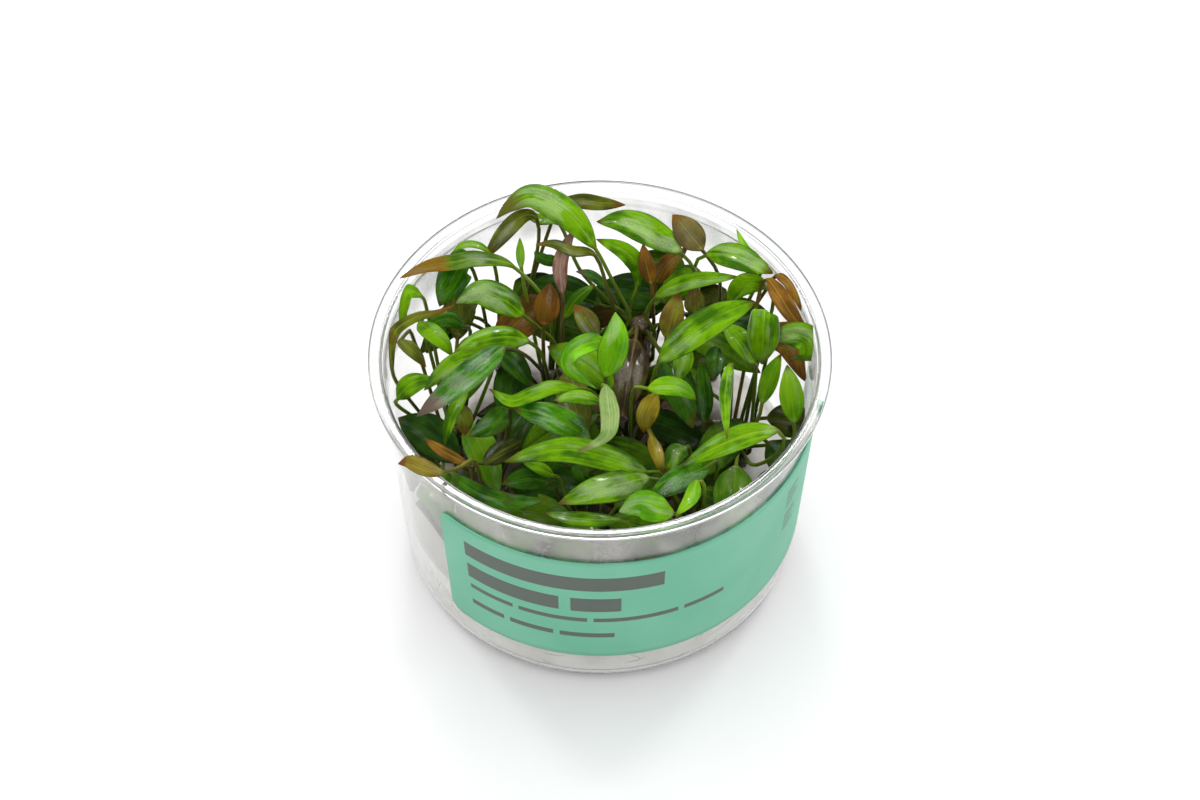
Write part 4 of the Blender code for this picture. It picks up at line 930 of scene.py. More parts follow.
# The large leaves, each a node of its own
LARGE = (
    LeafPlan("leaf_front_wall_strap", "crown_front_left", 3.8,
         ((-30.5, -25, 51), (-31.5, -24.6, 58.5), (-29.3, -26.8, 60.4), (-25, -29.2, 60.4),
          (-18, -30.6, 59.6), (-11, -29.9, 57.5)), lean=28, tone=Tone.DARK),
    LeafPlan("leaf_top_arch", "stem_tall", 6.2,
         ((6.5, 9.5, 44), (2.5, 17.5, 53), (-1, 24, 60), (-6.5, 31, 65), (-14, 35.4, 66.5), (-19, 33.6, 65),
          (-22.4, 30.4, 62)), neck=2, lean=30),
    LeafPlan("leaf_back_green", "crown_back_right", 6.6,
         ((21, 17, 50), (17.5, 23, 57), (11.5, 27.2, 61), (5, 29.9, 62.5), (-0.8, 29.8, 60.5)), lean=22),
    LeafPlan("leaf_right_long", "stem_tall", 3.6,
         ((10, 9.8, 45), (11.8, 13.2, 50), (16, 15.8, 54.5), (22, 17.4, 57.5), (30, 18, 58)), lean=30),
    LeafPlan("leaf_right_broad", "crown_middle", 6.7,
         ((11.3, -4.5, 46), (12.8, -0.6, 52), (17.5, 4, 57.5), (24, 8.4, 60.5), (29, 10.9, 61),
          (33.5, 12.5, 59)), lean=25),
    LeafPlan("leaf_left_broad", "crown_left_middle", 6.3,
         ((-9.5, 3, 42), (-13, 6.8, 49), (-16.5, 9.6, 55), (-20.5, 12.8, 59.5), (-26, 14.6, 61),
          (-31.2, 12.2, 58)), neck=2, lean=28),
    LeafPlan("leaf_left_tip_over_rim", "crown_left_middle", 3.6,
         ((-11, 11, 50), (-18.5, 20, 60), (-26, 21.8, 62.5), (-32, 21, 63.6), (-37.5, 20.1, 63.8),
          (-43.5, 17.5, 62.9)), lean=28),
    LeafPlan("leaf_front_long", "crown_front_right", 5.6,
         ((13.5, -25, 47), (10, -24.2, 53), (5.5, -22.4, 57.5), (0, -20.6, 59.5), (-7, -19.3, 60.5),
          (-14, -20.1, 59.5), (-21, -22, 57)), lean=28),
    LeafPlan("leaf_front_dark", "crown_front_right", 6.4,
         ((15, -27.5, 45), (10.5, -25.5, 52), (4, -26.9, 56.5), (-3, -28.6, 58), (-9.2, -31, 56)), lean=25),
    LeafPlan("leaf_front_right_long", "crown_right", 5.2,
         ((33, -22.6, 38), (37.6, -20.7, 45), (39.7, -17.6, 52), (38.4, -15.3, 56), (33, -15.7, 58),
          (27, -17.9, 59), (22, -20.4, 58), (17.6, -22.9, 55.8)), neck=3, lean=25),
    LeafPlan("leaf_middle_upright", "crown_middle", 6.2,
         ((1.2, -5.5, 47), (1.2, -3.6, 51), (2.4, 0.5, 55.5), (3.5, 5.5, 60), (3.3, 10.4, 63)), lean=40),
    LeafPlan("leaf_middle_folded", "crown_middle", 5.4,
         ((2.5, 1, 45), (1.0, 4.0, 52), (-2.6, 3.6, 57), (-6.3, 1.4, 58.2), (-6.6, -2.0, 56),
          (-0.6, -6.3, 51)), lean=45, tone=Tone.FRESH),
    LeafPlan("leaf_middle_pale", "crown_middle", 3.9,
         ((0.5, -7, 50), (1.2, -5.6, 55), (1.7, -9, 59.5), (2.1, -12.5, 61.5), (1.6, -16.2, 63),
          (-1.2, -18.3, 64), (-5.6, -19.9, 64.2)), lean=55, tone=Tone.FRESH),
    LeafPlan("leaf_middle_left", "crown_front", 6.0,
         ((1.5, -21.5, 42), (-2.4, -17.4, 50), (-6, -14.5, 55.5), (-12, -11.8, 58), (-19, -10.2, 56.5)),
         lean=30),
    LeafPlan("leaf_strap_left", "crown_middle", 3.2,
         ((-1, -7.5, 48), (-4.5, -6.2, 55), (-10, -5.8, 59), (-14.5, -7.3, 60), (-19.2, -8.8, 59.5),
          (-24, -6.1, 57)), lean=28),
    LeafPlan("leaf_left_long", "crown_left_middle", 5.3,
         ((-12.5, 1, 45), (-15.5, 4, 53), (-20, 5, 57.5), (-26, 4, 58.5), (-32.2, 0.8, 55)), lean=28),
    LeafPlan("leaf_left_silver", "crown_left_middle", 5.6,
         ((-16, 1.0, 50), (-20.5, 2.6, 59.5), (-25, -0.6, 61.8), (-30, -4.6, 62), (-35, -8.6, 60.5),
          (-39.6, -12.2, 56.5)), lean=35, tone=Tone.SILVER),
    LeafPlan("leaf_left_wet", "crown_back_left", 7.0,
         ((-26, 15, 48), (-28, 20.5, 57), (-30, 20.6, 60.5), (-32.2, 16.6, 57.5), (-34.6, 11.5, 52)),
         lean=65),
    LeafPlan("leaf_left_brown_arch", "crown_left", 2.2,
         ((-43, -6, 44), (-46.2, -2, 51), (-46.1, 2.4, 56), (-43.8, 6.6, 59.6), (-39.5, 9.3, 61.2),
          (-35.2, 10.2, 61.8), (-31, 12, 62.6)), lean=35, tone=Tone.OLIVE),
    LeafPlan("leaf_left_wall", "crown_left", 3.2,
         ((-37, 9.5, 46), (-38.6, 13.8, 56.5), (-42, 14.8, 60), (-44.4, 11.2, 57), (-44.8, 7, 52)),
         lean=45, tone=Tone.FRESH),
    LeafPlan("leaf_left_small", "crown_left", 3.8,
         ((-23, -1.5, 50), (-24.5, 0.8, 56.5), (-30.5, -0.2, 59.4), (-34.5, -3, 58), (-38, -6.6, 54)),
         lean=32),
    LeafPlan("leaf_rim_left_tip", "crown_front_left", 3.4,
         ((-26.5, -22.5, 50), (-30.5, -23.2, 61), (-33.8, -24.2, 63.6), (-37.5, -23.3, 65.2),
          (-41.2, -21.8, 65), (-43.6, -22.3, 62.8)), neck=2, lean=28, tone=Tone.OLIVE),
    LeafPlan("leaf_right_hanging", "crown_right", 6.8,
         ((35, 6, 52), (35.4, 10.0, 60), (35.4, 9.6, 62.8), (35.2, 5.4, 59.5), (34.9, -1, 50)), lean=75),
    LeafPlan("leaf_right_curled", "crown_right", 5.8,
         ((36, 1, 49), (37.8, 4.4, 57), (42.2, 5.5, 60.8), (45.2, 4, 59.4), (45.2, 0.9, 55.5),
          (40.8, 0.2, 51.5)), lean=40),
    LeafPlan("leaf_right_fresh", "crown_right", 5.0,
         ((41, -17.5, 38), (41.8, -13.5, 44), (41.2, -7.2, 50), (40.3, -0.9, 55.5)), lean=50, tone=Tone.FRESH),
    LeafPlan("leaf_right_pale", "crown_right", 3.8,
         ((34.3, -12, 39), (34.9, -9.3, 43), (36.9, -3, 49), (39.0, 1.4, 53.5)), lean=50, tone=Tone.FRESH),
    LeafPlan("leaf_back_right_green", "crown_back_right", 5.6,
         ((20.3, 19, 51), (23, 22.6, 57), (28.6, 22.5, 60.4), (33.8, 20.4, 61), (37.4, 18.6, 59.5)),
         lean=30),
    LeafPlan("leaf_back_brown", "crown_back_right", 6.0,
         ((25.8, 17, 48), (22, 23.7, 57), (18.7, 27.8, 61), (15.6, 31.4, 62.5)), lean=40, tone=Tone.OLIVE),
    LeafPlan("leaf_right_round", "crown_right", 4.8,
         ((37.4, 12.4, 50), (35.6, 15.6, 56), (31.2, 16.4, 57.5), (27.2, 12.4, 53.5)), lean=50),
    LeafPlan("leaf_right_brown_tip", "crown_right", 3.8,
         ((34, 13.5, 52), (35.8, 17.2, 58.5), (38.5, 13.9, 59.6), (41.4, 9.4, 58.5), (45.3, 5.2, 56.5)),
         lean=35, tone=Tone.BROWN),
    LeafPlan("leaf_back_olive", "crown_back_left", 3.3,
         ((-11, 28, 52), (-8.6, 33.2, 60.2), (-4.5, 34.2, 62.6), (0.5, 33.7, 62.8), (5.6, 33.4, 61.3)),
         lean=40, tone=Tone.OLIVE),
    LeafPlan("leaf_back_strap", "crown_back_left", 3.6,
         ((-13.6, 23, 50), (-13.6, 30.2, 59.5), (-16.6, 31, 61.5), (-20.6, 27.4, 60.5), (-25.2, 21.4, 55)),
         lean=40, tone=Tone.OLIVE),
    LeafPlan("leaf_back_rosy", "crown_left_middle", 3.2,
         ((-8, 11, 45), (-8.1, 14.2, 49), (-8.6, 20.5, 55.5), (-7, 25.4, 59.4), (-5, 28.4, 61.2)),
         lean=60, tone=Tone.ROSY),
    LeafPlan("leaf_middle_drooping", "stem_tall", 4.0,
         ((6.6, 11.7, 45), (8.0, 16, 51), (8.2, 20, 56), (5, 23.6, 59.6), (-0.9, 26.1, 60.4)), lean=35),
    LeafPlan("leaf_middle_brown", "stem_tall", 5.0,
         ((13.5, 2.2, 44), (14.3, 4.8, 48), (15.6, 9.5, 53), (17, 14.6, 57)), lean=50, tone=Tone.BROWN),
    LeafPlan("leaf_back_orange", "stem_tall", 3.4,
         ((11.2, 14, 49), (11.0, 16.4, 52), (10.0, 20.4, 56), (9.2, 25, 59.4)), lean=55, tone=Tone.BROWN),
    LeafPlan("leaf_left_triangle", "crown_left_middle", 5.6,
         ((-12.2, 4.6, 45), (-12.0, 7.6, 49.5), (-11.4, 11.6, 54), (-10.7, 16.6, 58)), lean=55, tone=Tone.BROWN),
    LeafPlan("leaf_left_dark_round", "crown_front_left", 5.0,
         ((-19.4, -12.6, 47), (-20.2, -10.8, 51), (-22.6, -13.4, 53.4), (-28.4, -16.4, 52.4)),
         lean=35, tone=Tone.DARK),
    LeafPlan("leaf_front_triangle", "crown_front_right", 6.4,
         ((17, -33.5, 50), (15.6, -33, 55.5), (12, -31.8, 58), (8.4, -31, 58.4), (4, -32.7, 56.5)),
         lean=20, tone=Tone.FRESH),
    LeafPlan("leaf_front_wet", "crown_front_right", 5.4,
         ((25.5, -22.6, 46), (23.4, -23.0, 53), (18, -25.4, 57), (13.2, -28.2, 58.4), (10.8, -30.6, 55)),
         lean=28),
    LeafPlan("leaf_front_small", "crown_front_right", 3.0,
         ((22.5, -27.5, 52), (20.9, -26.2, 58.5), (19.6, -29.8, 60.4), (16.3, -33.6, 60.2)),
         lean=25, tone=Tone.FRESH),
    LeafPlan("leaf_right_vertical", "crown_right", 2.6,
         ((28.4, -3.5, 51), (28.0, -1, 57), (26.9, -8.4, 61.3), (27.4, -17.2, 61.6)), lean=60),
    LeafPlan("leaf_dark_vertical", "crown_right", 3.4,
         ((22.6, -16, 38), (22.5, -13.6, 41), (22.6, -7.6, 47), (21.5, 0.6, 53)), lean=60, tone=Tone.DARK),
    LeafPlan("leaf_middle_ochre", "crown_middle", 4.6,
         ((12.6, -5.6, 47), (12.2, -7.4, 50.5), (10.2, -11.2, 49), (9.4, -15.8, 44)), lean=75, tone=Tone.OCHRE),
    LeafPlan("leaf_middle_fresh", "crown_middle", 4.0,
         ((7, -7, 49), (10.4, -6.2, 55), (14.4, -5.5, 57), (17.8, -6.2, 57), (20.8, -8.6, 54.5)),
         lean=40, tone=Tone.FRESH),
    LeafPlan("leaf_front_left_dark", "crown_front_left", 4.4,
         ((-27.4, -23.4, 45), (-25, -22.2, 50), (-21.4, -19.8, 52), (-17, -17.4, 50.5)),
         lean=40, tone=Tone.DARK),
    LeafPlan("leaf_front_low", "crown_front", 4.6,
         ((-9, -29, 42), (-11, -26.4, 49), (-15.4, -25.5, 52), (-21.2, -26.6, 50.5)), lean=35, tone=Tone.DARK),
)

# The small leaves, each fused to the crown that it grows from
SMALL = (
    LeafPlan("thin_back", "crown_back_left", 1.6,
         ((-22, 16, 48), (-24, 23.2, 58.5), (-28.6, 25, 60.8), (-32.6, 22.4, 59.4))),
    LeafPlan("point_back", "stem_tall", 2.6,
         ((-4, 19, 50), (-8.6, 29.2, 59), (-13, 30.4, 59.2), (-17.1, 31.8, 60))),
    LeafPlan("strap_back", "stem_tall", 2.6,
         ((2, 14, 47), (-1, 22.4, 56), (-6, 23.4, 57.8), (-10, 25, 58.6), (-14, 24.8, 57.4)), tone=Tone.OLIVE),
    LeafPlan("dark_back", "crown_left_middle", 2.8,
         ((-8.6, 15, 48), (-9, 20.6, 54.6), (-12, 21.7, 56.4), (-14.2, 23.4, 55.8)), tone=Tone.DARK),
    LeafPlan("stem_back", "crown_left_middle", 1.8,
         ((-15.6, 12, 47), (-17, 20, 54.5), (-17.3, 26.4, 59)), tone=Tone.FRESH),
    LeafPlan("brown_back", "stem_tall", 4.0,
         ((11.6, 13, 46), (12.2, 16.6, 50), (14.6, 20.6, 54.6), (19, 24.4, 57)), tone=Tone.BROWN),
    LeafPlan("olive_back", "crown_back_right", 4.6,
         ((20.6, 6.6, 46), (20.6, 9.6, 49), (20.4, 12.8, 52), (20, 15.8, 54.4)), tone=Tone.OLIVE),
    LeafPlan("thin_right", "crown_back_right", 1.6,
         ((34, 17, 52), (34.2, 21.6, 58.5), (31.4, 24, 61.2), (29.4, 28.2, 63.2)), tone=Tone.FRESH),
    LeafPlan("brown_right", "crown_back_right", 3.0,
         ((35, 14, 49), (38, 18.2, 58), (41, 17, 61), (42.8, 13.8, 60.4), (43.9, 10.6, 58.6)), tone=Tone.BROWN),
    LeafPlan("green_up", "crown_left_middle", 3.0,
         ((-8, 6, 42), (-7.6, 9, 46), (-5, 13.2, 50.4), (-1, 16.4, 53))),
    LeafPlan("grey_up", "stem_tall", 2.4,
         ((3.6, 12, 45), (1.8, 15.2, 48.5), (-2, 18.4, 52), (-5.3, 19.2, 53)), tone=Tone.SILVER),
    LeafPlan("olive_middle", "stem_tall", 4.8,
         ((0.4, 2.4, 42), (-0.6, 4.8, 46), (-3, 8.6, 49.6), (-5.6, 12, 51.6)), tone=Tone.OLIVE),
    LeafPlan("green_middle", "crown_middle", 3.2,
         ((3, -11, 44), (0.6, -9.2, 49.5), (-4.8, -7.8, 53.4), (-10.2, -8.6, 53))),
    LeafPlan("dark_right", "crown_right", 4.6,
         ((26, 0, 44), (25.4, 2.4, 48.5), (24.8, -1, 49), (24, -4.2, 47)), tone=Tone.DARK),
    LeafPlan("hanging_right", "crown_middle", 4.4,
         ((18, 0, 44), (18.4, 2.6, 50), (17.8, -0.8, 50.4), (16.8, -4.8, 48.4))),
    LeafPlan("branch_left", "crown_left", 2.8,
         ((-30, -9, 46), (-28.8, -6.2, 53.5), (-31, -9.8, 56), (-32.6, -14, 54), (-33.6, -18.6, 49))),
    LeafPlan("olive_left", "crown_left", 4.6,
         ((-33, -8.6, 44), (-31.4, -10, 49), (-29.4, -13, 50.4), (-29.2, -16.4, 48.5)), tone=Tone.OLIVE),
    LeafPlan("orange_front", "crown_front_left", 2.4,
         ((-27.6, -24.4, 46), (-28.4, -22.8, 51.5), (-34, -19.6, 54.6), (-37.9, -16.8, 54)), tone=Tone.BROWN),
    LeafPlan("green_front", "crown_front", 2.6,
         ((-8, -27, 44), (-10.2, -24.8, 50.6), (-13, -23.2, 53), (-16.6, -22, 53.4))),
    LeafPlan("green_wall", "crown_left", 4.2,
         ((-40, 9, 45), (-38.8, 8, 51), (-36.2, 6, 53.4), (-33.6, 3.6, 53), (-31.6, 0.8, 50.5))),
    LeafPlan("dark_wall", "crown_left", 3.8,
         ((-28, 5, 46), (-29.4, 7.2, 51), (-32, 8.8, 54), (-35, 8.4, 54.6), (-38, 6.6, 52.6)), tone=Tone.DARK),
    LeafPlan("olive_wall", "crown_left", 3.2,
         ((-43.4, 6.2, 46), (-43.2, 4.6, 50.4), (-41.4, 3, 53), (-39.4, 1, 52.4), (-37.4, -1.6, 49.6)),
         tone=Tone.OLIVE),
    LeafPlan("green_wall_low", "crown_left", 4.6,
         ((-43.4, -10, 43), (-43.4, -8.2, 47.6), (-42, -6.2, 50.6), (-39.4, -4.6, 51.4), (-35.8, -3.8, 50))),
    LeafPlan("dark_front", "crown_front", 3.6,
         ((-3, -28, 41), (-3.2, -26.4, 45), (-4, -24.4, 47.4), (-5.4, -21, 46.6)), tone=Tone.DARK),
    LeafPlan("ochre_front", "crown_front_right", 2.8,
         ((10.4, -14.6, 42), (11, -16.4, 45.4), (12, -19.4, 46.8), (13, -22.4, 46), (13.4, -25.4, 43)),
         tone=Tone.OCHRE),
    LeafPlan("green_front_right", "crown_front_right", 4.2,
         ((19.4, -19.6, 41), (18.4, -19, 45.4), (16.4, -20, 47.6), (14.6, -24.2, 45.6))),
    LeafPlan("green_right", "crown_right", 5.0,
         ((33.6, -2.6, 46), (33.2, -0.8, 50), (31.6, 2.4, 53), (29.2, 5.6, 54), (27.4, 8, 52))),
    LeafPlan("dark_middle_left", "crown_left_middle", 4.8,
         ((-20, 1.6, 43), (-21.4, 2, 47), (-19.6, 0.2, 49), (-17, -2.6, 48.4), (-14.4, -6, 45.6)),
         tone=Tone.DARK),
    LeafPlan("low_front", "crown_front", 3.4,
         ((6.5, -36.6, 47), (4.6, -34.6, 53), (-2, -34.4, 55), (-7, -33.9, 54.6), (-12, -32.8, 53))),
)


@dataclass(frozen=True)
class Bend:
    """How a blade's cross-section bends: its gutter, doming and waves, and how its tip slims."""

    gutter: float = 0.16
    dome: float = 0.10
    wave: float = 0.05
    wave_length: float = 8.5
    slim: float = 0.0


BENDS = {
    "leaf_top_arch": Bend(gutter=0.05, dome=0.22, wave=0.03),
    "leaf_left_silver": Bend(gutter=0.28, dome=0.0, wave=0.16, wave_length=6.0),
    "leaf_front_wet": Bend(gutter=0.05, dome=0.20),
    "leaf_front_triangle": Bend(gutter=0.02, dome=0.10, wave=0.02),
    "leaf_front_dark": Bend(gutter=0.10, dome=0.20),
    "leaf_left_broad": Bend(gutter=0.02, dome=0.26, wave=0.02),
    "leaf_left_long": Bend(gutter=0.02, dome=0.26, wave=0.03),
    "leaf_middle_folded": Bend(gutter=0.30, dome=0.0, wave=0.04, slim=0.55),
    "leaf_middle_pale": Bend(gutter=0.30, dome=0.0, wave=0.08),
    "leaf_right_vertical": Bend(gutter=0.34, dome=0.0, wave=0.05),
    "leaf_dark_vertical": Bend(gutter=0.30, dome=0.0),
}


# Leaves


def lance(share: np.ndarray) -> np.ndarray:
    """The lance shape: share to the rise times one less share to the fall, over its own highest value."""
    peak = LEAF.rise / (LEAF.rise + LEAF.fall)
    return share**LEAF.rise * (1 - share) ** LEAF.fall / (peak**LEAF.rise * (1 - peak) ** LEAF.fall)


def distances(line: np.ndarray) -> np.ndarray:
    """How far along a polyline each of its points is."""
    return np.concatenate(([0], np.cumsum(np.linalg.norm(np.diff(line, axis=0), axis=1))))


def smooth_course(points: np.ndarray, steps: int = 12) -> tuple[np.ndarray, np.ndarray, np.ndarray]:
    """A Catmull-Rom curve: on each span, half of a cubic in t whose terms are differences of four points.

    Args:
        points: the points that it runs through.
        steps: how many straight pieces a span has.

    Returns:
        The polyline, the distance along it, and the distances of the given points.
    """
    padded = np.vstack((2 * points[0] - points[1], points, 2 * points[-1] - points[-2]))
    before, start, end, after = (part[:, None] for part in (padded[:-3], padded[1:-2], padded[2:-1], padded[3:]))
    t = (np.arange(1, steps + 1) / steps)[None, :, None]
    spans = 0.5 * (2 * start + (end - before) * t + (2 * before - 5 * start + 4 * end - after) * t**2
                   + (3 * start - before - 3 * end + after) * t**3)
    line = np.vstack((points[:1], spans.reshape(-1, 3)))
    length = distances(line)
    return line, length, length[::steps]


def ring_places(total: float, neck: float, count: int) -> np.ndarray:
    """How far along a leaf the rings of its solid stand: a few on the stalk and the rest on the blade."""
    count = count or int(np.clip(round(total / LEAF.ring_step), LEAF.rings_least, LEAF.rings_most))
    on_stalk = max(2, round(count * neck / total))
    blade = neck + (total - neck) * np.linspace(0, 1, count - on_stalk + 3)[1:-1] ** LEAF.spread
    return np.concatenate((np.linspace(0, neck, on_stalk), blade))


def sampled(places: np.ndarray, stations: np.ndarray, points: np.ndarray) -> np.ndarray:
    """Points or vectors between given ones, by their distance along a line."""
    return np.stack([np.interp(places, stations, points[:, axis]) for axis in range(3)], axis=1)


def unit(vectors: np.ndarray) -> np.ndarray:
    """The vectors at length one."""
    return vectors / np.linalg.norm(vectors, axis=-1, keepdims=True)


def carried_frames(centres: np.ndarray, facing: np.ndarray) -> tuple[np.ndarray, np.ndarray]:
    """Unit vectors across and out of the blade, carried from its middle ring to both ends without twisting.

    Args:
        centres: the middles of the rings.
        facing: the way that the upper side faces at the middle ring.

    Returns:
        The vectors across and the vectors out.
    """
    tangents = unit(np.gradient(centres, axis=0))
    middle = len(centres) * 2 // 3
    outs = np.zeros_like(centres)
    outs[middle] = unit(facing - tangents[middle] * (facing @ tangents[middle]))
    for order in (range(middle + 1, len(centres)), range(middle - 1, -1, -1)):
        known = outs[middle]
        for i in order:
            known = unit(known - tangents[i] * (known @ tangents[i]))
            outs[i] = known
    return np.cross(outs, tangents), outs


@dataclass
class Course:
    """A leaf's line from its foot to its tip, with the frames that its solid's rings have."""

    plan: LeafPlan
    foot: np.ndarray
    drawn: np.ndarray
    rings: int = 0
    line: np.ndarray = field(init=False)
    length: np.ndarray = field(init=False)
    neck: float = field(init=False)
    places: np.ndarray = field(init=False)
    centres: np.ndarray = field(init=False)
    across: np.ndarray = field(init=False)
    out: np.ndarray = field(init=False)

    def __post_init__(self) -> None:
        """Works out the line and the frames."""
        points = VESSEL.keep_inside(np.vstack((self.foot, self.drawn)), LEAF.clear_wall)
        self.line, self.length, at_points = smooth_course(points)
        self.neck = at_points[self.plan.neck + 1]
        self.places = ring_places(self.length[-1], self.neck, self.rings)
        self.centres = VESSEL.keep_inside(sampled(self.places, self.length, self.line), LEAF.clear_wall)
        lean = math.radians(self.plan.lean)
        facing = np.array((0, -math.sin(lean), math.cos(lean)))
        self.across, self.out = carried_frames(np.vstack((self.centres, self.line[-1])), facing)

    def solid_points(self) -> np.ndarray:
        """The corners of the solid: four a ring, at the edges and above and below the middle, and the tip."""
        share = np.clip((self.places - self.neck) / (self.length[-1] - self.neck), 0, 1)[:, None]
        half = np.hypot(LEAF.stalk_half * (1 - LEAF.stalk_taper * share), self.plan.width / 2 * lance(share))
        thick = np.where(share > 0, LEAF.thick / 2, LEAF.stalk_half)
        lift = np.sin(LEAF.fold) * half * (share > 0)
        across, out = self.across[:-1], self.out[:-1]
        edges = [VESSEL.keep_inside(self.centres + side * across * half + out * lift, LEAF.clear_wall_edge)
                 for side in (1, -1)]
        tip = VESSEL.keep_inside(self.line[-1:], LEAF.clear_wall)
        return np.vstack((*edges, self.centres + out * thick, self.centres - out * thick, tip))

    def lies_on(self, corners: np.ndarray, within: float = 0.03, most: float = 0.8) -> bool:
        """Whether this course's solid lies on the given corners: its tip, and most of its other corners.

        A few corners may be missing, because packing merges faces that lie in one plane.
        """
        own = self.solid_points()
        if np.linalg.norm(corners - own[-1], axis=1).min() > within:
            return False
        gaps = np.linalg.norm(own[:, None] - corners[None], axis=2).min(axis=1)
        return float((gaps < within).mean()) >= most


def node_corners(name: str) -> np.ndarray:
    """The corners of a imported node, in millimetres."""
    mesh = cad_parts[name].data
    corners = np.zeros(len(mesh.vertices) * 3, np.float32)
    mesh.vertices.foreach_get("co", corners)
    return np.unique(np.round(corners.reshape(-1, 3) / MM, 4), axis=0)


@dataclass(frozen=True)
class BladeGrain:
    """How finely a blade is drawn, how thick and how wide it is, and where its stalk is rooted.

    A power says how sharply something falls off, a turn is a wave's phase in radians, and each root is the share of
    the way out from the crown's middle and how far it sinks.
    """

    stalk_rings: int = 15
    blade_rings: int = 46
    across: int = 17
    crowding_power: float = 1.35
    rib_thick: float = 0.17
    margin_thick: float = 0.06
    tip_share: float = 0.15
    groove: float = 0.10
    groove_width: float = 0.30
    keel: float = 0.20
    keel_width: float = 0.42
    open_by: float = 0.10
    fade_power: float = 0.6
    wave_power: float = 2.5
    wave_turn: float = 1.7
    other_side_turn: float = 1.9
    end_power: float = 6
    pattern_step: float = 3.7
    sheath: float = 0.55
    sheath_length: float = 3.0
    sheath_points: int = 7
    young_swell: float = 1.26
    large_swell: float = 1.06
    large_root: Range = (0.35, 4.0)
    fused_root: Range = (0.3, 2.5)


GRAIN = BladeGrain()


